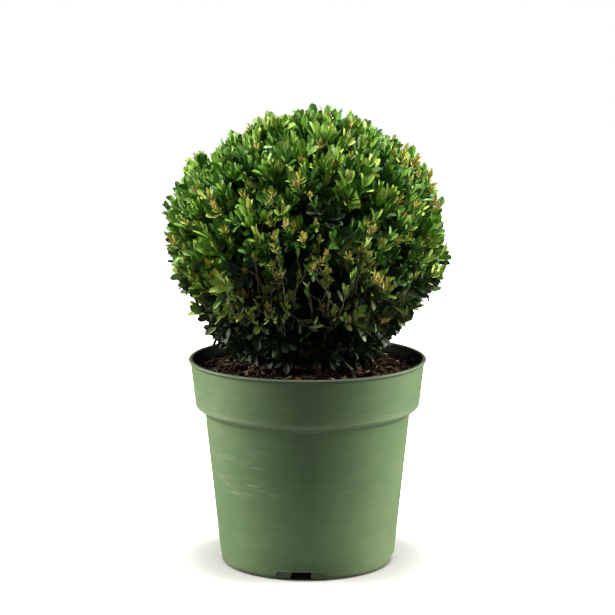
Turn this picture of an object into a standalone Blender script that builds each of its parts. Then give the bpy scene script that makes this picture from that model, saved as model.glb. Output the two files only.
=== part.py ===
# A clipped ball of Japanese holly in a green nursery pot, at its real size.
# Metres, +Z up. The origin is the centre of the pot's flat underside, and the plant's front faces -Y.

import math
import random

import bmesh
import bpy
from mathutils import Matrix, Vector

UP = Vector((0, 0, 1))
SEAT_GAP = 0.0003
SHARP_ANGLE = math.radians(40)

# Pot
POT_HEIGHT = 0.208
LIP_RADIUS = 0.120
COLLAR_TOP_RADIUS = 0.1175
COLLAR_FOOT_RADIUS = 0.1130
COLLAR_FOOT_Z = 0.1625
BODY_TOP_RADIUS = 0.1033
BODY_TOP_Z = 0.1530
BODY_FOOT_RADIUS = 0.0880
FOOT_ROUND = 0.0050
LEDGE_ROUND = 0.0040
LIP_HEIGHT = 0.0050
LIP_ROLL = 0.0008
POT_WALL = 0.0020
POT_FLOOR = 0.0026
POT_SIDES = 48
SOIL_SIDES = 24

# Drainage notches in the pot's foot, each leading into a channel under the floor
NOTCH_COUNT = 4
NOTCH_TURN = math.radians(-5)
NOTCH_WIDTH = 0.050
NOTCH_TOP_WIDTH = 0.045
NOTCH_HEIGHT = 0.0088
NOTCH_BACK = 0.0790
CHANNEL_WIDTH = 0.021
CHANNEL_HEIGHT = 0.0082
CHANNEL_END = 0.0460
CHANNEL_HOOD_END = 0.0500
BEYOND = 0.0200

# Potting soil
SOIL_TOP = POT_HEIGHT - 0.011
SOIL_LUMP = 0.0022
SOIL_FLAT_RADIUS = 0.024

# Crown: a ball clipped round, fuller at its shoulders and drawn in below its middle
CROWN_CENTRE = Vector((-0.0015, 0, 0.312))
CROWN_RADIUS = 0.1455
SHOULDER_SHARE = 0.028
UNDERSIDE_SHARE = 0.87
DRAW_IN_FROM = math.radians(2)
DRAW_IN_TO = math.radians(-20)
LUMP_SHARE = 0.030
TIP_STRAY = 0.0050
HEART_RADIUS = 0.058
HEART_GAP = 0.006
CORE_SHARE = 0.80
CORE_ROUGHNESS = 0.035
CELL_CLEARANCE = 0.0006
LIMB_CLEARANCE = 0.0020
SOIL_CLEARANCE = 0.0030

# Where the masses of foliage sit: name, azimuth from the front towards +X, elevation
LOWER_RING = [(-40, -26), (-96, -26), (-151, -26), (153, -26), (99, -26), (48, -26)]
UPPER_RING = [(-62, 24), (-3, 24), (57, 24), (117, 24), (177, 24), (-122, 24)]
# Open cells that hold no foliage: azimuth, elevation and weight, where 1 is a full cell
OPEN_CELLS = [(5, -25, 0.93), (0, -90, 0.80)]
RING_LIFT = 0.75

# Trunk and boughs
FORK_HEIGHT = 0.016
FORK = Vector((0.0015, -0.001, SOIL_TOP + SEAT_GAP + FORK_HEIGHT))
FLARE_RADIUS = 0.0135
TRUNK_RADIUS = 0.0085
TRUNK_SIDES = 12
STUB_LENGTH = 0.020
BOUGH_FOOT_RADIUS = 0.0029
BOUGH_TIP_RADIUS = 0.0019
BOUGH_SIDES = 6
BOUGH_SPANS = 6
LOWER_SPREAD = math.radians(50)
UPPER_SPREAD = math.radians(27)

# Shoots and leaves
SHOOT_COUNT = 120
SHOOT_FOOT_RADIUS = 0.0013
SHOOT_TIP_RADIUS = 0.0007
LEAF_LENGTH = 0.034
LEAF_WIDTH = 0.0165
LEAF_THICKNESS = 0.0010
LEAVES_PER_SHOOT = 5
LEAF_SPACING = 0.0050
LEAF_TILT = math.radians(24)
LEAF_TILT_STEP = math.radians(12)
LEAF_TRIES = 9
GOLDEN_ANGLE = math.pi * (3 - math.sqrt(5))

COLOURS = {
    "pot": ((0.13, 0.24, 0.13), 0.55),
    "soil": ((0.045, 0.025, 0.015), 0.95),
    "bark": ((0.21, 0.17, 0.12), 0.85),
    "foliage": ((0.07, 0.20, 0.03), 0.45),
}


def clear_scene():
    for obj in list(bpy.data.objects):
        bpy.data.objects.remove(obj)


def material(name):
    made = bpy.data.materials.get(name)
    if made:
        return made
    colour, roughness = COLOURS[name]
    made = bpy.data.materials.new(name)
    made.use_nodes = True
    shader = made.node_tree.nodes["Principled BSDF"]
    shader.inputs["Base Color"].default_value = (*colour, 1)
    shader.inputs["Roughness"].default_value = roughness
    shader.inputs["Metallic"].default_value = 0
    return made


def object_from(name, bm, finish):
    mesh = bpy.data.meshes.new(name)
    bm.to_mesh(mesh)
    bm.free()
    mesh.materials.append(material(finish))
    obj = bpy.data.objects.new(name, mesh)
    bpy.context.scene.collection.objects.link(obj)
    return obj


def combine(target, others, operation):
    """Applies one Boolean between target and all the others, then removes the others."""
    group = bpy.data.collections.new("operands")
    bpy.context.scene.collection.children.link(group)
    for other in others:
        bpy.context.scene.collection.objects.unlink(other)
        group.objects.link(other)
    modifier = target.modifiers.new(operation.title(), "BOOLEAN")
    modifier.operation = operation
    modifier.solver = "EXACT"
    modifier.operand_type = "COLLECTION"
    modifier.collection = group
    graph = bpy.context.evaluated_depsgraph_get()
    mesh = bpy.data.meshes.new_from_object(target.evaluated_get(graph))
    target.modifiers.clear()
    target.data = mesh
    for other in others:
        bpy.data.objects.remove(other)
    bpy.data.collections.remove(group)
    return target


def keep_main_body(obj):
    """Drops loose scraps and fills sealed hollows, so that one closed body is left."""
    bm = bmesh.new()
    bm.from_mesh(obj.data)
    bmesh.ops.triangulate(bm, faces=bm.faces)
    islands = []
    unseen = set(bm.faces)
    while unseen:
        island = []
        stack = [unseen.pop()]
        while stack:
            face = stack.pop()
            island.append(face)
            for edge in face.edges:
                for linked in edge.link_faces:
                    if linked in unseen:
                        unseen.remove(linked)
                        stack.append(linked)
        islands.append(island)
    main = max(islands, key=len)
    for island in islands:
        if island is not main:
            bmesh.ops.delete(bm, geom=island, context="FACES")
    bm.to_mesh(obj.data)
    bm.free()


def settle(obj, place, parent):
    """Moves an object's origin to a place without moving its shape, and hangs it under its parent."""
    obj.data.transform(Matrix.Translation(-place))
    obj.location = place
    obj.parent = parent


def round_over(obj):
    """Shades a round piece smooth and keeps its corners sharp."""
    obj.data.shade_smooth()
    obj.data.set_sharp_from_angle(angle=SHARP_ANGLE)


def turned(name, profile, finish, sides=POT_SIDES):
    """A solid turned about Z from a profile of (radius, height) that starts and ends on the axis."""
    bm = bmesh.new()
    points = [bm.verts.new((radius, 0, height)) for radius, height in profile]
    edges = [bm.edges.new(pair) for pair in zip(points, points[1:])]
    bmesh.ops.spin(
        bm,
        geom=points + edges,
        cent=(0, 0, 0),
        axis=(0, 0, 1),
        angle=2 * math.pi,
        steps=sides,
        use_merge=True,
    )
    bmesh.ops.remove_doubles(bm, verts=bm.verts, dist=1e-6)
    bmesh.ops.recalc_face_normals(bm, faces=bm.faces)
    return object_from(name, bm, finish)


def arc(centre, radius, start, end, steps):
    """Points of an arc in the profile's plane, between two angles in degrees."""
    return [
        (
            centre[0] + radius * math.cos(math.radians(start + (end - start) * k / steps)),
            centre[1] + radius * math.sin(math.radians(start + (end - start) * k / steps)),
        )
        for k in range(steps + 1)
    ]


def inset(line, distance):
    """A profile moved towards the axis by a wall's thickness, with mitred corners."""
    moved = []
    for k, (radius, height) in enumerate(line):
        before = Vector(line[max(k, 1)]) - Vector(line[max(k - 1, 0)])
        after = Vector(line[min(k + 1, len(line) - 1)]) - Vector(line[min(k, len(line) - 2)])
        sides = [Vector((-v.y, v.x)).normalized() for v in (before, after)]
        shift = (sides[0] + sides[1]) * (distance / (1 + sides[0].dot(sides[1])))
        moved.append((radius + shift.x, height + shift.y))
    return moved


def wall_line(steps=3):
    """The pot's outer wall from its rounded foot to the top of the collar."""
    foot = arc((BODY_FOOT_RADIUS - FOOT_ROUND, FOOT_ROUND), FOOT_ROUND, -90, 0, steps)
    corner = arc((COLLAR_FOOT_RADIUS - LEDGE_ROUND, COLLAR_FOOT_Z), LEDGE_ROUND, -60, 0, steps - 1)
    return foot + [(BODY_TOP_RADIUS, BODY_TOP_Z)] + corner + [
        (COLLAR_TOP_RADIUS, POT_HEIGHT - LIP_HEIGHT)
    ]


def lip_line():
    """The rolled lip, from the collar's outer face over the top to its inner face."""
    bead = LIP_HEIGHT / 2
    inner_radius = COLLAR_TOP_RADIUS - POT_WALL
    return arc((LIP_RADIUS - bead, POT_HEIGHT - bead), bead, -50, 90, 3) + [
        (inner_radius + LIP_ROLL, POT_HEIGHT),
        (inner_radius, POT_HEIGHT - LIP_ROLL),
    ]


def cavity_line(gap=0.0):
    """The inside of the pot's wall from the floor upwards, moved in by a further gap."""
    line = inset(wall_line(2), POT_WALL + gap)
    floor = POT_FLOOR + gap
    return [(radius, max(height, floor)) for radius, height in line]


def block(name, corners):
    """A convex cutter or boss that spans the given corners."""
    bm = bmesh.new()
    points = [bm.verts.new(corner) for corner in corners]
    bmesh.ops.convex_hull(bm, input=points)
    bmesh.ops.recalc_face_normals(bm, faces=bm.faces)
    return object_from(name, bm, "pot")


def drainage_block(name, azimuth, span, foot_width, top_width, height, below):
    """A block along an azimuth, from below the pot's foot up to a height, narrower at its top."""
    out = Vector((math.sin(azimuth), -math.cos(azimuth), 0))
    side = out.cross(UP)
    corners = []
    for along in span:
        for sign in (-1, 1):
            corners.append(out * along + side * sign * foot_width / 2 - UP * below)
            corners.append(out * along + side * sign * top_width / 2 + UP * height)
    return block(name, corners)


def drainage_blocks(label, grow=0):
    """Every notch with its channel. Grown by a wall's thickness, they are the hoods inside the pot."""
    below = 0 if grow else BEYOND
    channel_end = CHANNEL_HOOD_END + POT_WALL - grow if grow else CHANNEL_END
    notch_span = (NOTCH_BACK - grow, NOTCH_BACK + BEYOND)
    channel_span = (channel_end, NOTCH_BACK + BEYOND / 2)
    foot_width, top_width = NOTCH_WIDTH + 2 * grow, NOTCH_TOP_WIDTH + 2 * grow
    width, height = CHANNEL_WIDTH + 2 * grow, CHANNEL_HEIGHT + grow
    blocks = []
    for k in range(NOTCH_COUNT):
        azimuth = NOTCH_TURN + 2 * math.pi * k / NOTCH_COUNT
        name = f"{label}_notch_{k}"
        blocks.append(
            drainage_block(name, azimuth, notch_span, foot_width, top_width, NOTCH_HEIGHT + grow, below)
        )
        name = f"{label}_channel_{k}"
        blocks.append(drainage_block(name, azimuth, channel_span, width, width, height, below))
    return blocks


def make_pot():
    outside = [(0, 0)] + wall_line() + lip_line() + [(0, POT_HEIGHT - LIP_ROLL)]
    body = turned("pot", outside, "pot")
    top = (COLLAR_TOP_RADIUS - POT_WALL, POT_HEIGHT + BEYOND)
    cavity = turned("cavity", [(0, POT_FLOOR)] + cavity_line() + [top, (0, top[1])], "pot")
    combine(cavity, drainage_blocks("hood", POT_WALL), "DIFFERENCE")
    combine(body, [cavity], "DIFFERENCE")
    combine(body, drainage_blocks("cut"), "DIFFERENCE")
    round_over(body)
    return body


def soil_height(x, y):
    """The height of the soil's lumpy top, level under the trunk."""
    distance = math.hypot(x, y)
    lump = math.sin(71 * x + 1.3) * math.cos(83 * y - 0.4) + 0.5 * math.sin(150 * x - 120 * y)
    share = min(1, max(0, (distance - SOIL_FLAT_RADIUS) / SOIL_FLAT_RADIUS))
    return SOIL_TOP + SOIL_LUMP * lump * share


def make_soil():
    line = cavity_line(SEAT_GAP)
    below = [p for p in line if p[1] < SOIL_TOP - 3 * SOIL_LUMP]
    low, high = below[-1], line[len(below)]
    share = (SOIL_TOP - low[1]) / (high[1] - low[1])
    edge = (low[0] + (high[0] - low[0]) * share - SEAT_GAP, SOIL_TOP)
    rings = [(edge[0] * part, SOIL_TOP) for part in (0.82, 0.6, 0.4)]
    profile = [(0, line[0][1])] + below + [edge] + rings + [(SOIL_FLAT_RADIUS, SOIL_TOP), (0, SOIL_TOP)]
    soil = turned("soil", profile, "soil", SOIL_SIDES)
    for vertex in soil.data.vertices:
        if vertex.co.z > SOIL_TOP - 1e-5:
            vertex.co.z = soil_height(vertex.co.x, vertex.co.y)
    combine(soil, drainage_blocks("hood", POT_WALL + SEAT_GAP), "DIFFERENCE")
    round_over(soil)
    return soil


def direction(azimuth, elevation):
    """A unit vector from degrees of azimuth, counted from the front towards +X, and of elevation."""
    a, e = math.radians(azimuth), math.radians(elevation)
    return Vector((math.sin(a) * math.cos(e), -math.cos(a) * math.cos(e), math.sin(e)))


def crown_reach(way):
    """How far the crown reaches from its centre along a unit vector."""
    elevation = math.asin(max(-1, min(1, way.z)))
    t = min(1, max(0, (DRAW_IN_FROM - elevation) / (DRAW_IN_FROM - DRAW_IN_TO)))
    share = 1 - (1 - UNDERSIDE_SHARE) * t * t * (3 - 2 * t)
    if 0 < elevation < math.radians(60):
        share += SHOULDER_SHARE * math.sin(3 * elevation)
    lump = math.sin(5 * way.x + 2.1) * math.sin(4 * way.y + 0.7) + math.sin(7 * way.z - 5.4 + 3 * way.x)
    return CROWN_RADIUS * share * (1 + LUMP_SHARE * lump / 2)


class Mass:
    """One mass of foliage: a cone-shaped cell of the crown, with the stem and the bough that carry it."""

    def __init__(self, label, site, spread):
        self.label = label
        self.site = site
        self.spread = spread
        lift = RING_LIFT if site.z < 0.9 else 0
        self.stem_way = (site + UP * lift).normalized()
        self.foot = CROWN_CENTRE + site * HEART_RADIUS

    def stem_point(self, share):
        """A point on the stem, from its foot at 0 to its tip inside the core at 1."""
        length = CROWN_RADIUS * 0.66 - HEART_RADIUS
        return self.foot + self.stem_way * (SEAT_GAP + length * share)


def list_masses():
    masses = []
    for k, place in enumerate(LOWER_RING):
        masses.append(Mass(f"lower_{k + 1}", direction(*place), LOWER_SPREAD))
    for k, place in enumerate(UPPER_RING):
        masses.append(Mass(f"upper_{k + 1}", direction(*place), UPPER_SPREAD))
    masses.append(Mass("top", UP.copy(), 0))
    return masses


def cell_sites(masses):
    """The weighted site of every cell, those with foliage first."""
    sites = [mass.site for mass in masses]
    return sites + [direction(a, e) * weight for a, e, weight in OPEN_CELLS]


def in_cell(point, number, sites, clearance=CELL_CLEARANCE):
    """Whether a point lies in the numbered cell, clear of the planes that bound it."""
    from_centre = point - CROWN_CENTRE
    for k, site in enumerate(sites):
        if k == number:
            continue
        across = sites[number] - site
        if from_centre.dot(across) < clearance * across.length:
            return False
    return True


def bezier(start, start_way, end, end_way, t):
    """A point of the cubic curve that leaves and arrives along the given ways."""
    length = (end - start).length
    a = start + start_way * length * 0.40
    b = end - end_way * length * 0.35
    s = 1 - t
    return start * s**3 + a * (3 * s * s * t) + b * (3 * s * t * t) + end * t**3


def tube(bm, points, radii, sides, start_way=None, end_way=None):
    """Adds a closed tapering tube along the points, its end rings square to the ways that are given."""
    rings = []
    side = None
    last = len(points) - 1
    for k, point in enumerate(points):
        way = (points[min(k + 1, last)] - points[max(k - 1, 0)]).normalized()
        if k == 0 and start_way:
            way = start_way
        if k == last and end_way:
            way = end_way
        if side is None:
            side = way.orthogonal().normalized()
        side = (side - way * side.dot(way)).normalized()
        other = way.cross(side)
        rings.append(
            [
                bm.verts.new(
                    point
                    + (side * math.cos(2 * math.pi * j / sides) + other * math.sin(2 * math.pi * j / sides))
                    * radii[k]
                )
                for j in range(sides)
            ]
        )
    for low, high in zip(rings, rings[1:]):
        for j in range(sides):
            bm.faces.new((low[j], low[(j + 1) % sides], high[(j + 1) % sides], high[j]))
    bm.faces.new(list(reversed(rings[0])))
    bm.faces.new(rings[-1])


def tube_object(name, points, radii, sides, finish, start_way=None, end_way=None):
    bm = bmesh.new()
    tube(bm, points, radii, sides, start_way, end_way)
    return object_from(name, bm, finish)


def stub_way(mass):
    """The way in which a bough leaves the fork."""
    level = Vector((mass.site.x, mass.site.y, 0))
    if level.length < 1e-6 or mass.spread == 0:
        return UP.copy()
    return (level.normalized() * math.sin(mass.spread) + UP * math.cos(mass.spread)).normalized()


def bough_points(mass):
    """The centreline of a bough, from the trunk's stub to the foot of its mass."""
    way = stub_way(mass)
    start = FORK + way * (STUB_LENGTH + SEAT_GAP)
    return [bezier(start, way, mass.foot, mass.stem_way, k / BOUGH_SPANS) for k in range(BOUGH_SPANS + 1)]


def make_trunk(masses):
    """The short trunk: a lobed root flare on a flat cut, then the fork with a stub for each bough."""
    bm = bmesh.new()
    foot = Vector((0, 0, SOIL_TOP + SEAT_GAP))
    heights = (0, 0.12, 0.35, 0.7, 1.0, 1.3)
    rings = []
    for share in heights:
        centre = foot.lerp(FORK, share)
        flare = (1 - min(share, 1)) ** 2
        dome = 1 if share <= 1 else 0.55
        ring = []
        for j in range(TRUNK_SIDES):
            a = 2 * math.pi * j / TRUNK_SIDES
            lobe = 1 + 0.16 * flare * math.cos(5 * a + 0.6)
            radius = (TRUNK_RADIUS + (FLARE_RADIUS - TRUNK_RADIUS) * flare) * lobe * dome
            ring.append(bm.verts.new(centre + Vector((math.cos(a), math.sin(a), 0)) * radius))
        rings.append(ring)
    for low, high in zip(rings, rings[1:]):
        for j in range(TRUNK_SIDES):
            bm.faces.new((low[j], low[(j + 1) % TRUNK_SIDES], high[(j + 1) % TRUNK_SIDES], high[j]))
    bm.faces.new(list(reversed(rings[0])))
    bm.faces.new(rings[-1])
    trunk = object_from("trunk", bm, "bark")
    stubs = []
    for mass in masses:
        way = stub_way(mass)
        points = [FORK + way * 0.002, FORK + way * STUB_LENGTH]
        radii = [BOUGH_FOOT_RADIUS * 1.25, BOUGH_FOOT_RADIUS]
        stubs.append(tube_object(f"stub_{mass.label}", points, radii, BOUGH_SIDES, "bark"))
    combine(trunk, stubs, "UNION")
    keep_main_body(trunk)
    round_over(trunk)
    return trunk


def make_bough(mass):
    points = bough_points(mass)
    radii = [
        BOUGH_FOOT_RADIUS + (BOUGH_TIP_RADIUS - BOUGH_FOOT_RADIUS) * k / BOUGH_SPANS
        for k in range(BOUGH_SPANS + 1)
    ]
    name = f"bough_{mass.label}"
    bough = tube_object(name, points, radii, BOUGH_SIDES, "bark", stub_way(mass), mass.stem_way)
    round_over(bough)
    return bough


def limb_segments(masses):
    """Every limb as (start, end, radius), to keep foliage clear of it."""
    segments = [(Vector((0, 0, SOIL_TOP)), FORK, FLARE_RADIUS)]
    for mass in masses:
        points = bough_points(mass)
        segments.append((FORK, points[0], BOUGH_FOOT_RADIUS * 1.25))
        for a, b in zip(points, points[1:]):
            segments.append((a, b, BOUGH_FOOT_RADIUS))
    return segments


def near_limb(point, segments, clearance):
    for a, b, radius in segments:
        along = b - a
        t = min(1, max(0, (point - a).dot(along) / along.length_squared))
        if (point - a - along * t).length < radius + clearance:
            return True
    return False


def pot_or_soil_in_the_way(point):
    """Whether a point is too near the soil, or too near the pot's rim."""
    if point.z < SOIL_TOP + SOIL_CLEARANCE:
        return True
    inside = COLLAR_TOP_RADIUS - POT_WALL - SOIL_CLEARANCE
    return point.z < POT_HEIGHT + SOIL_CLEARANCE and math.hypot(point.x, point.y) > inside


def free(point, number, sites, segments):
    return (
        in_cell(point, number, sites)
        and not pot_or_soil_in_the_way(point)
        and not near_limb(point, segments, LIMB_CLEARANCE)
    )


def cell_planes(number, sites, clearance):
    """The planes that bound a mass's core, as (point, outward normal)."""
    planes = []
    for k, site in enumerate(sites):
        if k != number:
            normal = (site - sites[number]).normalized()
            planes.append((CROWN_CENTRE - normal * clearance, normal))
    site = sites[number].normalized()
    planes.append((CROWN_CENTRE + site * (HEART_RADIUS + HEART_GAP), -site))
    planes.append((UP * (SOIL_TOP + 2 * SOIL_CLEARANCE), -UP))
    return planes


def make_core(mass, number, sites, rng):
    """The dense heart of a mass: the part of a smaller, rougher ball that lies in its cell."""
    bm = bmesh.new()
    bmesh.ops.create_icosphere(bm, subdivisions=3, radius=1)
    for vertex in bm.verts:
        way = vertex.co.normalized()
        share = CORE_SHARE * (1 + rng.uniform(-CORE_ROUGHNESS, CORE_ROUGHNESS))
        vertex.co = CROWN_CENTRE + way * crown_reach(way) * share
    for point, normal in cell_planes(number, sites, CELL_CLEARANCE * 1.5):
        cut = bmesh.ops.bisect_plane(
            bm,
            geom=bm.verts[:] + bm.edges[:] + bm.faces[:],
            dist=1e-6,
            plane_co=point,
            plane_no=normal,
            clear_outer=True,
        )
        edges = [item for item in cut["geom_cut"] if isinstance(item, bmesh.types.BMEdge)]
        bmesh.ops.holes_fill(bm, edges=edges)
    bmesh.ops.dissolve_degenerate(bm, dist=0.0008, edges=bm.edges)
    bmesh.ops.triangulate(bm, faces=bm.faces)
    bmesh.ops.recalc_face_normals(bm, faces=bm.faces)
    return object_from(f"foliage_{mass.label}", bm, "foliage")


def leaf_object(name, root, way, face, length):
    """A leaf of eight faces: a kite that is widest past its middle and thickest at its midrib."""
    side = way.cross(face).normalized()
    face = side.cross(way)
    width = LEAF_WIDTH * length / LEAF_LENGTH
    half = LEAF_THICKNESS / 2
    bm = bmesh.new()
    base = bm.verts.new(root)
    tip = bm.verts.new(root + way * length - face * length * 0.06)
    left = bm.verts.new(root + way * length * 0.6 - side * width / 2)
    right = bm.verts.new(root + way * length * 0.6 + side * width / 2)
    above = bm.verts.new(root + way * length * 0.5 + face * half - face * length * 0.03)
    below = bm.verts.new(root + way * length * 0.5 - face * half - face * length * 0.03)
    for a, b in ((base, right), (right, tip), (tip, left), (left, base)):
        bm.faces.new((a, b, above))
        bm.faces.new((b, a, below))
    bmesh.ops.recalc_face_normals(bm, faces=bm.faces)
    return object_from(name, bm, "foliage")


def leaf_fits(root, way, face, length, number, sites, segments):
    """Whether a leaf keeps inside the crown and its mass's cell, clear of limbs, pot and soil."""
    side = way.cross(face).normalized() * (LEAF_WIDTH / 2)
    wide = root + way * length * 0.6
    tip = root + way * length
    from_centre = tip - CROWN_CENTRE
    if from_centre.length > crown_reach(from_centre.normalized()) + TIP_STRAY:
        return False
    return all(free(p, number, sites, segments) for p in (tip, wide - side, wide + side))


def shoot_ends(number, sites):
    """Evenly spread ends of shoots in one cell, drawn in from its borders."""
    ends = []
    for k in range(SHOOT_COUNT):
        height = 1 - 2 * (k + 0.5) / SHOOT_COUNT
        level = math.sqrt(1 - height * height)
        a = GOLDEN_ANGLE * k
        way = Vector((level * math.cos(a), level * math.sin(a), height))
        if not in_cell(CROWN_CENTRE + way * CROWN_RADIUS, number, sites, 0):
            continue
        while not in_cell(CROWN_CENTRE + way * CROWN_RADIUS, number, sites, LEAF_WIDTH * 0.35):
            way = (way * 0.95 + sites[number].normalized() * 0.05).normalized()
        ends.append((k, way))
    return ends


def shoot_points(mass, way, rng):
    """A shoot that leaves the stem inside the core, and lifts as it grows out to the crown's surface."""
    end = CROWN_CENTRE + way * (crown_reach(way) - LEAF_LENGTH * 0.68)
    start = mass.stem_point(rng.uniform(0.45, 0.9))
    middle = start.lerp(end, 0.55) - UP * 0.10 * (end - start).length + mass.site * 0.004
    return [start, middle, end]


def leaves_on(points, rng, number, sites, segments):
    """The leaves that fit on a shoot, as (root, way, face, length), from its tip inwards."""
    tip, way = points[-1], (points[-1] - points[-2]).normalized()
    way = (way + UP * 0.25).normalized()
    side = way.orthogonal().normalized()
    other = way.cross(side)
    turn = rng.uniform(0, 2 * math.pi)
    leaves = []
    for k in range(LEAVES_PER_SHOOT):
        tilt = LEAF_TILT + LEAF_TILT_STEP * k + rng.uniform(-0.1, 0.1)
        length = LEAF_LENGTH * rng.uniform(0.88, 1.08)
        turn += GOLDEN_ANGLE
        for attempt in range(LEAF_TRIES):
            a = turn + attempt * GOLDEN_ANGLE * (attempt > 0)
            out = side * math.cos(a) + other * math.sin(a)
            leaf_way = (way * math.cos(tilt) + out * math.sin(tilt)).normalized()
            face = (way * math.sin(tilt) - out * math.cos(tilt)).normalized()
            root = tip - way * (0.0012 + LEAF_SPACING * k) - leaf_way * 0.0004
            if leaf_fits(root, leaf_way, face, length, number, sites, segments):
                leaves.append((root, leaf_way, face, length))
                break
            length *= 0.985
    return leaves


def make_foliage(mass, number, sites, segments):
    """A mass of foliage: stem, core, shoots and leaves joined into one body."""
    rng = random.Random(100 + number)
    label = f"foliage_{mass.label}"
    core = make_core(mass, number, sites, rng)
    stem_ends = [mass.stem_point(0), mass.stem_point(1)]
    parts = [tube_object(f"{label}_stem", stem_ends, [BOUGH_TIP_RADIUS, 0.0012], BOUGH_SIDES, "bark")]
    for k, way in shoot_ends(number, sites):
        points = shoot_points(mass, way, rng)
        if not free(points[-1], number, sites, segments):
            continue
        radii = [SHOOT_FOOT_RADIUS, SHOOT_FOOT_RADIUS, SHOOT_TIP_RADIUS]
        parts.append(tube_object(f"{label}_shoot_{k}", points, radii, 3, "foliage"))
        for j, leaf in enumerate(leaves_on(points, rng, number, sites, segments)):
            parts.append(leaf_object(f"{label}_leaf_{k}_{j}", *leaf))
    combine(core, parts, "UNION")
    keep_main_body(core)
    return core


def main():
    clear_scene()
    plant = bpy.data.objects.new("holly_ball", None)
    bpy.context.scene.collection.objects.link(plant)
    masses = list_masses()
    sites = cell_sites(masses)
    segments = limb_segments(masses)
    settle(make_pot(), Vector(), plant)
    settle(make_soil(), UP * SOIL_TOP, plant)
    settle(make_trunk(masses), UP * (SOIL_TOP + SEAT_GAP), plant)
    for number, mass in enumerate(masses):
        settle(make_bough(mass), bough_points(mass)[0], plant)
        settle(make_foliage(mass, number, sites, segments), mass.foot, plant)


main()
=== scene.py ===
# A clipped ball of Japanese holly in a green nursery pot, dressed over its solids.
# Metres, +Z up. The plant's front faces -Y.
import math
import random

import bmesh
import bpy
import numpy as np
from mathutils import Matrix, Vector, noise


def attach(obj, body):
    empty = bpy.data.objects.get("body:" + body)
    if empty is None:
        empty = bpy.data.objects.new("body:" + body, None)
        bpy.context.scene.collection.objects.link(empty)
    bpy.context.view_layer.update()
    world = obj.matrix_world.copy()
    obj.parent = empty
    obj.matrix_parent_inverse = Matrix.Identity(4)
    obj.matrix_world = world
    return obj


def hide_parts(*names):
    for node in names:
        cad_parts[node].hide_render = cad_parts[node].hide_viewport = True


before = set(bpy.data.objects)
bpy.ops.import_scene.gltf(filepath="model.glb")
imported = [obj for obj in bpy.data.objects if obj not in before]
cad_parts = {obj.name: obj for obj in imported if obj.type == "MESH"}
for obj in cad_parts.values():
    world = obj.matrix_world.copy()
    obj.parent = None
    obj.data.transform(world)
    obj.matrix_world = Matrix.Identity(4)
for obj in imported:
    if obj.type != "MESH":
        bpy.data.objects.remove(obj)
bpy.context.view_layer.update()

up = Vector((0, 0, 1))
goldenAngle = math.pi * (3 - math.sqrt(5))
nodeNames = sorted(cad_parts)
boughNodes = [name for name in nodeNames if name.startswith("bough")]
foliageNodes = [name for name in nodeNames if name.startswith("foliage")]

for name in ("Cube", "Camera", "Light"):
    startUp = bpy.data.objects.get(name)
    if startUp:
        bpy.data.objects.remove(startUp)


# small helpers

def clamp(value, low=0.0, high=1.0):
    return min(high, max(low, value))


def between(a, b, share):
    return a + (b - a) * share


def direction(azimuth, elevation):
    a, e = math.radians(azimuth), math.radians(elevation)
    return Vector((math.sin(a) * math.cos(e), -math.cos(a) * math.cos(e), math.sin(e)))


def arc(centre, radius, start, end, steps):
    points = []
    for k in range(steps + 1):
        a = math.radians(between(start, end, k / steps))
        points.append((centre[0] + radius * math.cos(a), centre[1] + radius * math.sin(a)))
    return points


def bezier(start, startWay, end, endWay, t, pull):
    length = (end - start).length
    a = start + startWay * length * pull[0]
    b = end - endWay * length * pull[1]
    s = 1 - t
    return start * s**3 + a * (3 * s * s * t) + b * (3 * s * t * t) + end * t**3


def levelled(side, way):
    # a unit vector square to the way, and near to the side where there is one
    return way.orthogonal().normalized() if side is None else (side - way * side.dot(way)).normalized()


def strand(start, startWay, end, endWay, spans, pull=(0.40, 0.35)):
    return [bezier(start, startWay, end, endWay, k / spans, pull) for k in range(spans + 1)]


def shaken(path, rng, amount):
    # every point but the foot, which stays on what carries it
    return [path[0]] + [p + jitter(rng, amount) for p in path[1:]]


def apart(way, azimuth, elevation):
    return math.degrees(way.angle(direction(azimuth, elevation)))


def objectFrom(name, mesh, materials):
    for material in materials:
        mesh.materials.append(material)
    obj = bpy.data.objects.new(name, mesh)
    bpy.context.scene.collection.objects.link(obj)
    return obj


def meshOf(name, bm):
    mesh = bpy.data.meshes.new(name)
    bm.to_mesh(mesh)
    bm.free()
    return mesh


def place(obj, nodes=()):
    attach(obj, "root")
    if nodes:
        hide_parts(*nodes)
    faces = sum(len(p.vertices) - 2 for p in obj.data.polygons)
    print(f"{obj.name}: {faces} triangles")


# finishes

class Value:
    # a socket that takes part in sums
    def __init__(self, finish, socket):
        self.finish = finish
        self.socket = socket

    def sum(self, operation, a, b=0.0, clamped=False):
        settings = {"operation": operation, "use_clamp": clamped}
        return self.finish.node("ShaderNodeMath", settings, {0: a, 1: b})

    def __add__(self, other):
        return self.sum("ADD", self, other)

    def __radd__(self, other):
        return self.sum("ADD", other, self)

    def __sub__(self, other):
        return self.sum("SUBTRACT", self, other)

    def __rsub__(self, other):
        return self.sum("SUBTRACT", other, self)

    def __mul__(self, other):
        return self.sum("MULTIPLY", self, other)

    def __rmul__(self, other):
        return self.sum("MULTIPLY", other, self)

    def __truediv__(self, other):
        return self.sum("DIVIDE", self, other)

    def __pow__(self, other):
        return self.sum("POWER", self, other)

    def clamped(self):
        return self.sum("ADD", self, 0.0, True)

    def ramp(self, low, high):
        # 0 below low, 1 above high, eased between
        settings = {"interpolation_type": "SMOOTHSTEP"}
        return self.finish.node("ShaderNodeMapRange", settings, {0: self, 1: low, 2: high, 3: 0.0, 4: 1.0})


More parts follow.
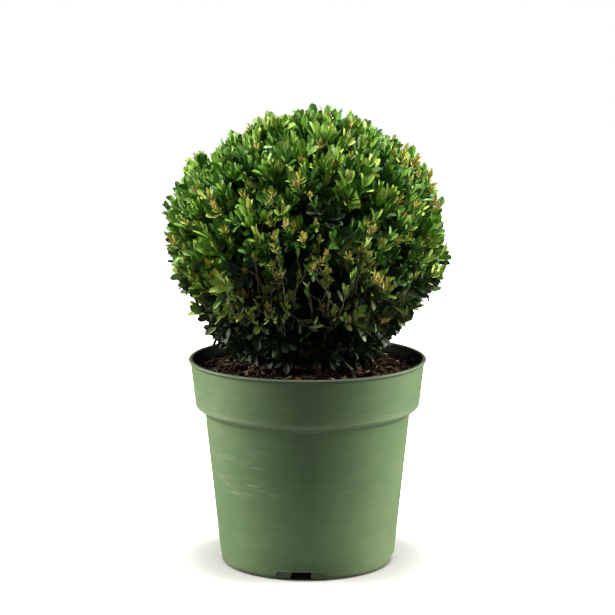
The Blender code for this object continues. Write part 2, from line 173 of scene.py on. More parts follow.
class Finish:
    def __init__(self, name):
        self.material = bpy.data.materials.new(name)
        self.material.use_nodes = True
        self.tree = self.material.node_tree
        self.shader = self.tree.nodes["Principled BSDF"]
        self.place = None

    def node(self, kind, settings=None, inputs=None, output=0):
        made = self.tree.nodes.new(kind)
        for key, value in (settings or {}).items():
            setattr(made, key, value)
        for key, value in (inputs or {}).items():
            self.feed(made.inputs[key], value)
        return Value(self, made.outputs[output])

    def feed(self, socket, value):
        if isinstance(value, Value):
            self.tree.links.new(value.socket, socket)
        elif isinstance(value, (tuple, list)) and len(value) == 3 and socket.type == "RGBA":
            socket.default_value = (*value, 1)
        else:
            socket.default_value = value

    def where(self, scale=(1, 1, 1)):
        if self.place is None:
            self.place = self.node("ShaderNodeTexCoord", output="Object")
        if scale == (1, 1, 1):
            return self.place
        return self.node("ShaderNodeMapping", {}, {"Vector": self.place, "Scale": scale})

    def axes(self):
        split = self.node("ShaderNodeSeparateXYZ", {}, {0: self.where()})
        made = split.socket.node
        return [Value(self, made.outputs[k]) for k in range(3)]

    def grain(self, scale, detail=3.0, rough=0.55, stretch=(1, 1, 1), twist=0.0):
        inputs = {"Vector": self.where(stretch), "Scale": scale, "Detail": detail}
        inputs.update({"Roughness": rough, "Distortion": twist})
        return self.node("ShaderNodeTexNoise", {}, inputs)

    def cells(self, scale):
        inputs = {"Vector": self.where(), "Scale": scale}
        return self.node("ShaderNodeTexVoronoi", {"feature": "F1"}, inputs, "Distance")

    def mix(self, a, b, share):
        return self.node("ShaderNodeMix", {"data_type": "RGBA"}, {0: share, 6: a, 7: b}, 2)

    def bump(self, height, distance, strength=1.0, under=None):
        inputs = {"Height": height, "Distance": distance, "Strength": strength}
        if under:
            inputs["Normal"] = under
        return self.node("ShaderNodeBump", {}, inputs)

    def done(self, **sockets):
        for key, value in sockets.items():
            self.feed(self.shader.inputs[key.replace("_", " ")], value)
        return self.material


# the pot

pot = {
    "height": 0.208,
    "lipRadius": 0.1196,
    "collarTopRadius": 0.1175,
    "collarFootRadius": 0.1130,
    "collarFootZ": 0.1625,
    "bodyTopRadius": 0.1033,
    "bodyTopZ": 0.1530,
    "bodyFootRadius": 0.0880,
    "footRound": 0.0050,
    "ledgeRound": 0.0040,
    "lipHeight": 0.0026,
    "lipFlare": [(0.0000, 0.0052), (0.0003, 0.0040), (0.0009, 0.0030)],
    "lipRoll": 0.0008,
    "wall": 0.0020,
    "floor": 0.0026,
    "sides": 160,
    "notchCount": 4,
    "notchTurn": -5,
    "notchWidth": 0.050,
    "notchTopWidth": 0.045,
    "notchHeight": 0.0088,
    "notchBack": 0.0790,
    "channelWidth": 0.021,
    "channelHeight": 0.0082,
    "channelEnd": 0.0460,
    "hoodEnd": 0.0500,
    "beyond": 0.0200,
    "green": (0.103, 0.176, 0.080),
    "paleGreen": (0.152, 0.222, 0.106),
    "deepGreen": (0.068, 0.130, 0.060),
    "scuff": (0.34, 0.42, 0.31),
    "dirt": (0.110, 0.085, 0.050),
    # pale mould rings, and painted highlight on the collar's lower roll and the notches' top edges
    "paleRingsAndPaintedHighlight": (0.235, 0.300, 0.185),
    "paintedLipShade": (0.084, 0.116, 0.074),
    "recess": (0.260, 0.330, 0.205),
    "paintedInnerShade": (0.006, 0.007, 0.005),
    "scuffedSide": (-0.67, -0.74),
    "handledBands": [(0.108, 0.114, 0.125, 0.119), (0.078, 0.086, 0.107, 0.100)],
    "innerFrom": (0.176, 0.180),
    "roughness": 0.44,
}


def potFinish():
    f = Finish("moulded_green_plastic")
    x, y, z = f.axes()
    radius = (x * x + y * y) ** 0.5
    cloud = f.grain(9.0, 4.0, 0.6).ramp(0.35, 0.68)
    mottle = f.grain(70.0, 5.0, 0.65).ramp(0.36, 0.70)
    colour = f.mix(pot["green"], pot["paleGreen"], cloud * 0.50 + mottle * 0.26)
    drawn = f.grain(14.0, 5.0, 0.7, stretch=(1, 1, 26)).ramp(0.40, 0.72)  # faint level drawing lines
    colour = f.mix(colour, pot["deepGreen"], drawn * 0.30)
    flecks = f.grain(420.0, 2.0, 0.5).ramp(0.64, 0.78)
    colour = f.mix(colour, pot["paleGreen"], flecks * 0.35)
    streak = f.grain(15.0, 4.0, 0.60, stretch=(1, 1, 20), twist=0.2).ramp(0.55, 0.66)
    region = f.grain(26.0, 2.0, 0.5).ramp(0.44, 0.60)
    turnedTo = (x * pot["scuffedSide"][0] + y * pot["scuffedSide"][1]) / radius
    bands = [z.ramp(low, full) * z.ramp(high, fading) for low, full, high, fading in pot["handledBands"]]
    handled = turnedTo.ramp(0.78, 0.97) * (bands[0] + bands[1])
    smear = f.grain(38.0, 3.0, 0.6, stretch=(1, 1, 3)).ramp(0.48, 0.66)
    scuffs = streak * region * (handled * 0.80 + 0.12) + smear * handled * 0.30
    colour = f.mix(colour, pot["scuff"], (scuffs * 0.44).clamped())
    specks = f.cells(75.0).ramp(0.085, 0.055) * f.grain(19.0, 1.0, 0.5).ramp(0.52, 0.60)
    colour = f.mix(colour, pot["dirt"], specks * 0.55)
    lip = z.ramp(pot["height"] - 0.0052, pot["height"] - 0.0030)
    foot = pot["collarFootZ"]
    # painted highlight: the collar's lower roll is paled as if lit from below, with some wear
    ledge = z.ramp(foot + 0.0010, foot - 0.0022) * z.ramp(foot - 0.0070, foot - 0.0045)
    rings = f.grain(5.0, 2.0, 0.5, stretch=(0.2, 0.2, 130)).ramp(0.50, 0.60)  # left by the mould
    rings = rings * z.ramp(foot + 0.0085, foot + 0.0030) * z.ramp(foot - 0.0060, foot - 0.0020)
    colour = f.mix(colour, pot["paleRingsAndPaintedHighlight"], (ledge * 0.70 + rings * 0.28).clamped())
    # painted shade: the lip is greyed and darkened to hold down its highlight
    colour = f.mix(colour, pot["paintedLipShade"], lip * 0.85)
    dust = f.grain(45.0, 3.0, 0.6).ramp(0.42, 0.64) * z.ramp(0.016, 0.003)
    colour = f.mix(colour, pot["dirt"], dust * 0.40)
    t = math.radians(pot["notchTurn"])
    across = x * math.cos(t) + y * math.sin(t)
    along = x * math.sin(t) - y * math.cos(t)
    widest, edge = (pot["notchWidth"] / 2) ** 2, (pot["notchWidth"] / 2 - 0.003) ** 2
    byNotch = ((across * across).ramp(widest, edge) + (along * along).ramp(widest, edge)).clamped()
    top = pot["notchHeight"]
    # painted highlight along the notches' top edges
    lintel = byNotch * z.ramp(top - 0.0004, top + 0.0001) * z.ramp(top + 0.0016, top + 0.0008)
    colour = f.mix(colour, pot["paleRingsAndPaintedHighlight"], lintel * 0.70)
    back = pot["notchBack"]
    # painted light on the notches' recess faces, with some dust
    recess = radius.ramp(back + 0.0065, back + 0.0045) * radius.ramp(back - 0.0012, back - 0.0002)
    recess = recess * z.ramp(top + 0.0008, top) * byNotch
    colour = f.mix(colour, pot["recess"], recess * 0.85)
    rise = (pot["collarTopRadius"] - pot["collarFootRadius"]) / (pot["height"] - pot["collarFootZ"])
    wallRadius = (z - pot["collarFootZ"]) * rise + pot["collarFootRadius"]
    depth = wallRadius - radius
    # painted shade on the inner wall under the rim, near black
    inner = depth.ramp(pot["wall"] * 0.35, pot["wall"] * 0.80) * z.ramp(*pot["innerFrom"])
    inner = inner * z.ramp(pot["height"] - 0.0003, pot["height"] - 0.0016)
    colour = f.mix(colour, pot["paintedInnerShade"], inner * 0.98)
    roughness = pot["roughness"] + cloud * 0.05 + scuffs * 0.22 - drawn * 0.04 + flecks * 0.06
    roughness = roughness + inner * 0.52 + (lip + ledge) * 0.12
    height = f.grain(900.0, 2.0, 0.5) * 0.5 + drawn * 0.25 - scuffs * 0.4 + rings * 0.6
    height = height + inner * f.grain(520.0, 3.0, 0.6) * 6.0
    normal = f.bump(height, 0.00012, 0.55)
    normal = f.bump(f.grain(22.0, 2.0, 0.5), 0.0009, 0.30, normal)
    f.shader.inputs["IOR"].default_value = 1.46
    f.shader.inputs["Specular IOR Level"].default_value = 0.38
    return f.done(Base_Color=colour, Roughness=roughness, Normal=normal)


def turned(name, profile, sides):
    bm = bmesh.new()
    points = [bm.verts.new((radius, 0, height)) for radius, height in profile]
    edges = [bm.edges.new(pair) for pair in zip(points, points[1:])]
    ring = {"cent": (0, 0, 0), "axis": up, "angle": 2 * math.pi, "steps": sides}
    bmesh.ops.spin(bm, geom=points + edges, use_merge=True, **ring)
    bmesh.ops.remove_doubles(bm, verts=bm.verts, dist=1e-6)
    bmesh.ops.recalc_face_normals(bm, faces=bm.faces)
    return objectFrom(name, meshOf(name, bm), [])


def inset(line, distance):
    moved = []
    for k, (radius, height) in enumerate(line):
        before = Vector(line[max(k, 1)]) - Vector(line[max(k - 1, 0)])
        after = Vector(line[min(k + 1, len(line) - 1)]) - Vector(line[min(k, len(line) - 2)])
        sides = [Vector((-v.y, v.x)).normalized() for v in (before, after)]
        shift = (sides[0] + sides[1]) * (distance / (1 + sides[0].dot(sides[1])))
        moved.append((radius + shift.x, height + shift.y))
    return moved


def wallLine(steps):
    p = pot
    foot = arc((p["bodyFootRadius"] - p["footRound"], p["footRound"]), p["footRound"], -90, 0, steps)
    ledge = arc((p["collarFootRadius"] - p["ledgeRound"], p["collarFootZ"]), p["ledgeRound"], -60, 0, steps)
    corner = [
        (p["bodyTopRadius"] - 0.00006, p["bodyTopZ"] - 0.0010),
        (p["bodyTopRadius"] + 0.00035, p["bodyTopZ"] + 0.0003),
    ]
    return foot + corner + ledge + [(p["collarTopRadius"], p["height"] - p["lipFlare"][0][1])]


def lipLine():
    # the collar flares out to a thin bead, then the top runs in to the wall's inner face
    p = pot
    bead = p["lipHeight"] / 2
    inner = p["collarTopRadius"] - p["wall"]
    flare = [(p["collarTopRadius"] + out, p["height"] - down) for out, down in p["lipFlare"][1:]]
    roll = arc((p["lipRadius"] - bead, p["height"] - bead), bead, -50, 90, 8)
    return flare + roll + [(inner + p["lipRoll"], p["height"]), (inner, p["height"] - p["lipRoll"])]


def cavityLine(gap=0.0, steps=4):
    line = inset(wallLine(steps), pot["wall"] + gap)
    return [(radius, max(height, pot["floor"] + gap)) for radius, height in line]


def drainageBlock(azimuth, span, footWidth, topWidth, height, below):
    out = Vector((math.sin(azimuth), -math.cos(azimuth), 0))
    side = out.cross(up)
    bm = bmesh.new()
    corners = []
    footWidth += (footWidth - topWidth) * below / height
    for along in span:
        for sign in (-1, 1):
            corners.append(bm.verts.new(out * along + side * sign * footWidth / 2 - up * below))
            corners.append(bm.verts.new(out * along + side * sign * topWidth / 2 + up * height))
    bmesh.ops.convex_hull(bm, input=corners)
    bmesh.ops.recalc_face_normals(bm, faces=bm.faces)
    return objectFrom("drainage", meshOf("drainage", bm), [])


def drainageBlocks(grow=0.0):
    p = pot
    below = 0 if grow else p["beyond"]
    channelEnd = p["hoodEnd"] + p["wall"] - grow if grow else p["channelEnd"]
    notchSpan = (p["notchBack"] - grow, p["notchBack"] + p["beyond"])
    channelSpan = (channelEnd, p["notchBack"] + p["beyond"] / 2)
    blocks = []
    for k in range(p["notchCount"]):
        azimuth = math.radians(p["notchTurn"]) + 2 * math.pi * k / p["notchCount"]
        width, topWidth = p["notchWidth"] + 2 * grow, p["notchTopWidth"] + 2 * grow
        blocks.append(drainageBlock(azimuth, notchSpan, width, topWidth, p["notchHeight"] + grow, below))
        width = p["channelWidth"] + 2 * grow
        blocks.append(drainageBlock(azimuth, channelSpan, width, width, p["channelHeight"] + grow, below))
    return blocks


def cutAway(target, others):
    group = bpy.data.collections.new("cutters")
    bpy.context.scene.collection.children.link(group)
    for other in others:
        bpy.context.scene.collection.objects.unlink(other)
        group.objects.link(other)
    cut = target.modifiers.new("cut", "BOOLEAN")
    cut.operation = "DIFFERENCE"
    cut.solver = "EXACT"
    cut.operand_type = "COLLECTION"
    cut.collection = group
    graph = bpy.context.evaluated_depsgraph_get()
    mesh = bpy.data.meshes.new_from_object(target.evaluated_get(graph))
    target.modifiers.clear()
    target.data = mesh
    for other in others:
        bpy.data.objects.remove(other)
    bpy.data.collections.remove(group)


def mended(obj):
    # closes the hairline gaps that a cut leaves
    bm = bmesh.new()
    bm.from_mesh(obj.data)
    bmesh.ops.remove_doubles(bm, verts=bm.verts, dist=2e-5)
    bmesh.ops.dissolve_degenerate(bm, edges=bm.edges, dist=1e-5)
    bmesh.ops.holes_fill(bm, edges=[edge for edge in bm.edges if edge.is_boundary], sides=6)
    bmesh.ops.recalc_face_normals(bm, faces=bm.faces)
    bm.to_mesh(obj.data)
    bm.free()


def makePot():
    p = pot
    outside = [(0, 0)] + wallLine(6) + lipLine() + [(0, p["height"] - p["lipRoll"])]
    body = turned("nursery_pot", outside, p["sides"])
    top = (p["collarTopRadius"] - p["wall"], p["height"] + p["beyond"])
    cavity = turned("cavity", [(0, p["floor"])] + cavityLine() + [top, (0, top[1])], p["sides"])
    cutAway(cavity, drainageBlocks(p["wall"]))
    cutAway(body, [cavity])
    cutAway(body, drainageBlocks())
    mended(body)
    body.data.materials.clear()
    body.data.materials.append(potFinish())
    body.data.shade_smooth()
    body.data.set_sharp_from_angle(angle=math.radians(38))
    place(body, ["pot"])


makePot()
print("pot made")


# potting soil, bark chips and fibres

soil = {
    "top": pot["height"] - 0.011,
    "lump": 0.0022,
    "flatRadius": 0.024,
    "gap": 0.0003,
    "sides": 150,
    "rings": 46,
    "crumb": 0.0016,
    "dark": (0.006, 0.0038, 0.0026),
    "brown": (0.030, 0.016, 0.009),
    "rust": (0.120, 0.042, 0.018),
}
litter = {
    "seed": 41,
    "reach": 0.1105,
    "chips": 1000,
    "chipLength": (0.0026, 0.0085),
    "slabs": 170,
    "slabLength": (0.0055, 0.0125),
    "fibres": 240,
    "fibreLength": (0.006, 0.021),
    "curls": 38,
    "curlLength": (0.0040, 0.0075),
    "curlReach": 0.103,
    "rustBelow": 0.24,
    "tanFrom": 0.94,
    "slabRustShare": 0.42,
    "onEdgeShare": 0.35,
}
litterLooks = {
    # finish, dark, pale
    "rust": ("rusty_bark_chip", (0.034, 0.013, 0.007), (0.175, 0.070, 0.034)),
    "umber": ("dark_bark_chip", (0.007, 0.0044, 0.003), (0.036, 0.020, 0.011)),
    "tan": ("tan_bark_chip", (0.110, 0.058, 0.026), (0.300, 0.190, 0.095)),
    "straw": ("pale_fibre", (0.12, 0.075, 0.035), (0.36, 0.27, 0.15)),
    "curl": ("pale_curl", (0.30, 0.24, 0.15), (0.50, 0.42, 0.27)),
}


def soilHeight(x, y):
    distance = math.hypot(x, y)
    lump = math.sin(71 * x + 1.3) * math.cos(83 * y - 0.4) + 0.5 * math.sin(150 * x - 120 * y)
    share = clamp((distance - soil["flatRadius"]) / soil["flatRadius"])
    return soil["top"] + soil["lump"] * lump * share


def crumbledHeight(x, y):
    crumbs = noise.fractal(Vector((x, y, 0.3)) * 210, 0.6, 2.1, 5)
    return soilHeight(x, y) + soil["crumb"] * crumbs


def soilFinish():
    f = Finish("damp_peat")
    lumps = f.grain(190.0, 6.0, 0.7).ramp(0.38, 0.68)
    grit = f.grain(900.0, 3.0, 0.6).ramp(0.42, 0.66)
    colour = f.mix(soil["dark"], soil["brown"], lumps * 0.75 + grit * 0.20)
    rust = f.cells(260.0).ramp(0.45, 0.10) * f.grain(60.0).ramp(0.52, 0.62)
    colour = f.mix(colour, soil["rust"], rust * 0.65)
    roughness = 0.94 - lumps * 0.20
    normal = f.bump(lumps * 0.7 + grit * 0.3, 0.0007, 0.8)
    f.shader.inputs["Specular IOR Level"].default_value = 0.15
    return f.done(Base_Color=colour, Roughness=roughness, Normal=normal)


def barkChipFinish(name, dark, pale):
    f = Finish(name)
    fibre = f.grain(420.0, 4.0, 0.65, twist=0.6).ramp(0.34, 0.70)
    colour = f.mix(dark, pale, fibre)
    normal = f.bump(fibre, 0.0003, 0.7)
    f.shader.inputs["Specular IOR Level"].default_value = 0.22
    return f.done(Base_Color=colour, Roughness=0.88 - fibre * 0.2, Normal=normal)


def makeSoil():
    s = soil
    line = cavityLine(s["gap"])
    below = [point for point in line if point[1] < s["top"] - 3 * s["lump"]]
    low, high = below[-1], line[len(below)]
    share = (s["top"] - low[1]) / (high[1] - low[1])
    edge = between(low[0], high[0], share) - s["gap"]
    rings = [(edge * (1 - k / s["rings"]), s["top"]) for k in range(s["rings"])]
    profile = [(0, line[0][1])] + below + rings + [(0, s["top"])]
    made = turned("potting_soil", profile, s["sides"])
    for vertex in made.data.vertices:
        if vertex.co.z > s["top"] - 1e-5:
            vertex.co.z = crumbledHeight(vertex.co.x, vertex.co.y)
    cutAway(made, drainageBlocks(pot["wall"] + s["gap"]))
    made.data.materials.clear()
    made.data.materials.append(soilFinish())
    made.data.shade_smooth()
    made.data.set_sharp_from_angle(angle=math.radians(60))
    place(made, ["soil"])


def templateOf(bm):
    # vertices, faces and material numbers of a small shape, ready to be repeated
    bm.verts.index_update()
    points = np.array([v.co[:] for v in bm.verts])
    faces = [[v.index for v in face.verts] for face in bm.faces]
    slots = [face.material_index for face in bm.faces]
    bm.free()
    return points, faces, slots


def repeated(name, placings, materials, sharp=None):
    # placings: (template, 3 x 3 matrix whose columns are the shape's axes, place)
    groups = {}
    for template, axes, origin in placings:
        groups.setdefault(id(template), (template, [], []))
        groups[id(template)][1].append(axes)
        groups[id(template)][2].append(origin)
    parts, start = [], 0
    for template, axes, origins in groups.values():
        points, faces, slots = template
        axes, origins = np.array(axes), np.array(origins)
        moved = np.einsum("nij,vj->nvi", axes, points) + origins[:, None, :]
        flat = np.array([v for face in faces for v in face])
        shifts = start + np.arange(len(axes)) * len(points)
        loops = (flat[None, :] + shifts[:, None]).ravel()
        sizes = np.tile([len(face) for face in faces], len(axes))
        parts.append((moved.reshape(-1, 3), loops, sizes, np.tile(slots, len(axes))))
        start += len(axes) * len(points)
    return meshFrom(name, *[np.concatenate(arrays) for arrays in zip(*parts)], materials, sharp)


def meshFrom(name, points, loops, sizes, slots, materials, sharp=None):
    mesh = bpy.data.meshes.new(name)
    mesh.vertices.add(len(points))
    mesh.vertices.foreach_set("co", points.astype(np.float32).ravel())
    mesh.loops.add(len(loops))
    mesh.loops.foreach_set("vertex_index", loops.astype(np.int32))
    mesh.polygons.add(len(sizes))
    starts = np.concatenate([[0], np.cumsum(sizes)[:-1]])
    mesh.polygons.foreach_set("loop_start", starts.astype(np.int32))
    mesh.update(calc_edges=True)
    for material in materials:
        mesh.materials.append(material)
    mesh.polygons.foreach_set("material_index", np.asarray(slots, np.int32))
    mesh.shade_smooth()
    if sharp:
        mesh.set_sharp_from_angle(angle=math.radians(sharp))
    mesh.validate()
    obj = bpy.data.objects.new(name, mesh)
    bpy.context.scene.collection.objects.link(obj)
    return obj


def axesFrom(way, face, length, width, depth):
    # columns: across, along, out of the face
    across = way.cross(face).normalized()
    face = across.cross(way).normalized()
    return [[across[k] * width, way[k] * length, face[k] * depth] for k in range(3)]


def chipTemplate(rng):
    bm = bmesh.new()
    bmesh.ops.create_cube(bm, size=1)
    bmesh.ops.subdivide_edges(bm, edges=bm.edges[:], cuts=1, use_grid_fill=True)
    for vertex in bm.verts:
        taper = 1 - 0.45 * abs(vertex.co.y)
        vertex.co.x *= taper
        vertex.co += Vector((rng.uniform(-1, 1), rng.uniform(-1, 1), rng.uniform(-1, 1))) * 0.11
    return templateOf(bm)


def fibreTemplate(bend):
    bm = bmesh.new()
    ends = bmesh.ops.create_circle(bm, segments=4, radius=0.5, cap_ends=True)["verts"]
    bmesh.ops.rotate(bm, verts=ends, cent=(0, 0, 0), matrix=Matrix.Rotation(math.radians(-90), 3, "X"))
    bmesh.ops.translate(bm, verts=ends, vec=(0, -0.5, 0))
    face = bm.faces[:][0]
    for k in range(5):
        made = bmesh.ops.extrude_face_region(bm, geom=[face])
        moved = [item for item in made["geom"] if isinstance(item, bmesh.types.BMVert)]
        bmesh.ops.delete(bm, geom=[face] if k else [], context="FACES_ONLY")
        face = [item for item in made["geom"] if isinstance(item, bmesh.types.BMFace)][0]
        bmesh.ops.translate(bm, verts=moved, vec=(0, 0.2, 0))
    bmesh.ops.recalc_face_normals(bm, faces=bm.faces)
    for vertex in bm.verts:
        t = vertex.co.y + 0.5
        thin = 1 - 0.7 * abs(2 * t - 1) ** 2
        vertex.co.x *= thin
        vertex.co.z *= thin
        vertex.co.x += bend * math.sin(math.pi * t) * 3 + bend * 1.2 * math.sin(2 * math.pi * t)
        vertex.co.z += abs(bend) * 2.4 * math.sin(math.pi * t)
    return templateOf(bm)


def strewn(rng, reach, low, high):
    # a place on the soil
    radius, a = reach * math.sqrt(rng.uniform(low, high)), rng.uniform(0, 2 * math.pi)
    return radius * math.cos(a), radius * math.sin(a)


def lying(rng, slope):
    return Vector((rng.gauss(0, 1), rng.gauss(0, 1), rng.gauss(0, slope))).normalized()


def makeLitter():
    s = litter
    rng = random.Random(s["seed"])
    chips = [chipTemplate(rng) for k in range(5)]
    fibres = [fibreTemplate(bend) for bend in (0.5, -0.8, 1.2)]
    shades = {kind: [] for kind in litterLooks}
    for k in range(s["slabs"]):
        # larger flakes of bark, some of them on edge
        x, y = strewn(rng, s["reach"], 0.03, 0.93)
        length = between(*s["slabLength"], rng.random() ** 1.6)
        onEdge = rng.random() < s["onEdgeShare"]
        way = lying(rng, 0.9 if onEdge else 0.2)
        face = Vector((rng.gauss(0, 1), rng.gauss(0, 1), 0.15 if onEdge else 1.8)).normalized()
        axes = axesFrom(way, face, length, length * rng.uniform(0.35, 0.62), length * rng.uniform(0.10, 0.20))
        origin = (x, y, crumbledHeight(x, y) + length * (0.20 if onEdge else 0.08))
        kind = "rust" if rng.random() < s["slabRustShare"] else "umber"
        shades[kind].append((rng.choice(chips), axes, origin))
    for k in range(s["curls"]):
        x, y = strewn(rng, s["curlReach"], 0.15, 1)
        length = between(*s["curlLength"], rng.random())
        way = lying(rng, 0.5)
        width = rng.uniform(0.0009, 0.0015)
        axes = axesFrom(way, up, length, width * 1.6, width)
        shades["curl"].append((fibres[2], axes, (x, y, crumbledHeight(x, y) + 0.0014)))
    for k in range(s["chips"]):
        x, y = strewn(rng, s["reach"], 0.03, 0.985)
        length = between(*s["chipLength"], rng.random() ** 2.2)
        way = lying(rng, 0.33)
        face = (up + Vector((rng.gauss(0, 0.35), rng.gauss(0, 0.35), 0))).normalized()
        axes = axesFrom(way, face, length, length * rng.uniform(0.34, 0.75), length * rng.uniform(0.14, 0.32))
        origin = (x, y, crumbledHeight(x, y) + length * rng.uniform(0.0, 0.12))
        luck = rng.random()
        kind = "rust" if luck < s["rustBelow"] else "umber" if luck < s["tanFrom"] else "tan"
        shades[kind].append((rng.choice(chips), axes, origin))
    for k in range(s["fibres"]):
        x, y = strewn(rng, s["reach"], 0.05, 0.96)
        length = between(*s["fibreLength"], rng.random() ** 1.7)
        way = lying(rng, 0.12)
        width = rng.uniform(0.0005, 0.0011)
        ends = [(x + way.x * length / 2 * sign, y + way.y * length / 2 * sign) for sign in (1, -1)]
        if max(math.hypot(*end) for end in ends) > s["reach"]:
            continue
        axes = axesFrom(way, up, length, width, width * 0.7)
        shades["straw"].append((rng.choice(fibres), axes, (x, y, crumbledHeight(x, y) + 0.0008)))
    for kind, placings in shades.items():
        sharp = None if kind in ("straw", "curl") else 30
        made = repeated(f"soil_litter_{kind}", placings, [barkChipFinish(*litterLooks[kind])], sharp)
        place(made)


makeSoil()
makeLitter()
print("soil made")


# the crown's rule, as the solids have it

crown = {
    "centre": Vector((-0.0015, 0, 0.312)),
    "radius": 0.1455,
    "shoulderShare": 0.028,
    "undersideShare": 0.87,
    "drawInFrom": math.radians(2),
    "drawInTo": math.radians(-20),
    "lumpShare": 0.030,
    "heartRadius": 0.058,
    "ringLift": 0.75,
    "lowerRing": [(-40, -26), (-96, -26), (-151, -26), (153, -26), (99, -26), (48, -26)],
    "upperRing": [(-62, 24), (-3, 24), (57, 24), (117, 24), (177, 24), (-122, 24)],
    "openCells": [(5, -25, 0.93), (0, -90, 0.80)],
    "lowerSpread": math.radians(50),
    "upperSpread": math.radians(27),
}
limbs = {
    "fork": Vector((0.0015, -0.001, soil["top"] + 0.0003 + 0.016)),
    "flareRadius": 0.0135,
    "trunkRadius": 0.0085,
    "trunkSides": 40,
    "stub": 0.020,
    "boughFoot": 0.0029,
    "boughTip": 0.0019,
    "boughSides": 14,
    "boughSpans": 26,
    "bark": (0.125, 0.100, 0.072),
    "paleBark": (0.230, 0.200, 0.155),
    "darkBark": (0.045, 0.034, 0.024),
    "twigBark": (0.185, 0.165, 0.095),
    "paleTwigBark": (0.340, 0.310, 0.185),
    "greenBark": (0.160, 0.150, 0.065),
}


def crownReach(way):
    c = crown
    elevation = math.asin(clamp(way.z, -1, 1))
    t = clamp((c["drawInFrom"] - elevation) / (c["drawInFrom"] - c["drawInTo"]))
    share = 1 - (1 - c["undersideShare"]) * t * t * (3 - 2 * t)
    if 0 < elevation < math.radians(60):
        share += c["shoulderShare"] * math.sin(3 * elevation)
    lump = math.sin(5 * way.x + 2.1) * math.sin(4 * way.y + 0.7) + math.sin(7 * way.z - 5.4 + 3 * way.x)
    return c["radius"] * share * (1 + c["lumpShare"] * lump / 2)


class Mass:
    def __init__(self, site, spread):
        self.site = site
        self.spread = spread
        self.stemWay = (site + up * (crown["ringLift"] if site.z < 0.9 else 0)).normalized()
        self.foot = crown["centre"] + site * crown["heartRadius"]

    def stemPoint(self, share):
        return self.foot + self.stemWay * (0.0003 + (crown["radius"] * 0.66 - crown["heartRadius"]) * share)

    def stubWay(self):
        level = Vector((self.site.x, self.site.y, 0))
        if self.spread == 0 or level.length < 1e-6:
            return up.copy()
        return (level.normalized() * math.sin(self.spread) + up * math.cos(self.spread)).normalized()

    def boughPoint(self, t):
        way = self.stubWay()
        start = limbs["fork"] + way * (limbs["stub"] + 0.0003)
        return bezier(start, way, self.foot, self.stemWay, t, (0.40, 0.35))


masses = [Mass(direction(*spot), crown["lowerSpread"]) for spot in crown["lowerRing"]]
masses += [Mass(direction(*spot), crown["upperSpread"]) for spot in crown["upperRing"]]
ringMasses = masses[:]
masses.append(Mass(up.copy(), 0))
sites = [mass.site for mass in masses] + [direction(a, e) * weight for a, e, weight in crown["openCells"]]


def ownerOf(way):
    scores = [way.dot(site) for site in sites]
    return scores.index(max(scores))


# trunk and boughs

def barkFinish(name, base, pale, paleShare):
    f = Finish(name)
    ridges = f.grain(150.0, 5.0, 0.65, stretch=(1, 1, 0.35)).ramp(0.34, 0.70)
    fine = f.grain(900.0, 3.0, 0.6)
    colour = f.mix(limbs["darkBark"], base, ridges * 0.8 + 0.2)
    patches = f.grain(55.0, 3.0, 0.6).ramp(0.50, 0.66)
    colour = f.mix(colour, pale, patches * paleShare)
    dots = f.cells(700.0).ramp(0.22, 0.10)
    colour = f.mix(colour, pale, dots * 0.4)
    normal = f.bump(ridges * 0.7 + fine * 0.3 + dots * 0.3, 0.0004, 0.8)
    return f.done(Base_Color=colour, Roughness=0.86 - ridges * 0.14, Normal=normal)


def ringAlong(ring, point, way, side, radius, sides, relief):
    other = way.cross(side)
    for j, vertex in enumerate(ring):
        a = 2 * math.pi * j / sides
        out = side * math.cos(a) + other * math.sin(a)
        spot = point + out * radius
        vertex.co = point + out * radius * (1 + relief * barkRelief(spot, a))


def barkRelief(spot, a):
    ridge = noise.noise(Vector((math.cos(a) * 2.2, math.sin(a) * 2.2, spot.z * 60)))
    knob = noise.noise(spot * 420)
    return ridge * 0.7 + knob * 0.5


def limbMesh(bm, points, radii, sides, relief):
    last = len(points) - 1
    side, ring = None, None
    for k, point in enumerate(points):
        way = (points[min(k + 1, last)] - points[max(k - 1, 0)]).normalized()
        side = levelled(side, way)
        if ring is None:
            made = bmesh.ops.create_circle(bm, segments=sides, radius=1, cap_ends=True)
            ring = made["verts"]
        else:
            made = bmesh.ops.extrude_face_region(bm, geom=[face])
            bmesh.ops.delete(bm, geom=[face] if k > 1 else [], context="FACES_ONLY")
            face = [item for item in made["geom"] if isinstance(item, bmesh.types.BMFace)][0]
            ring = list(face.verts)
        if k == 0:
            face = ring[0].link_faces[0]
            ring = list(face.verts)
        ringAlong(ring, point, way, side, radii[k], sides, relief)


def makeTrunk():
    m = limbs
    bm = bmesh.new()
    foot = Vector((0, 0, soil["top"] + 0.0003))
    shares = [k / 22 * 1.18 for k in range(23)]
    points = [foot.lerp(m["fork"], share) for share in shares]
    radii = []
    for share in shares:
        flare = (1 - min(share, 1)) ** 2
        dome = 1 if share <= 1 else 1 - 0.5 * ((share - 1) / 0.18) ** 2
        radii.append((m["trunkRadius"] + (m["flareRadius"] - m["trunkRadius"]) * flare) * dome)
    limbMesh(bm, points, radii, m["trunkSides"], 0.16)
    for vertex in bm.verts:
        share = clamp((vertex.co.z - foot.z) / 0.016)
        a = math.atan2(vertex.co.y, vertex.co.x)
        lobe = 1 + 0.16 * (1 - share) ** 2 * math.cos(5 * a + 0.6)
        vertex.co.x *= lobe
        vertex.co.y *= lobe
        vertex.co.z = max(vertex.co.z, foot.z)
    bmesh.ops.recalc_face_normals(bm, faces=bm.faces)
    bark = barkFinish("grey_brown_bark", m["bark"], m["paleBark"], 0.55)
    trunk = objectFrom("holly_trunk", meshOf("holly_trunk", bm), [bark])
    trunk.data.shade_smooth()
    trunk.data.set_sharp_from_angle(angle=math.radians(60))
    place(trunk, ["trunk"])


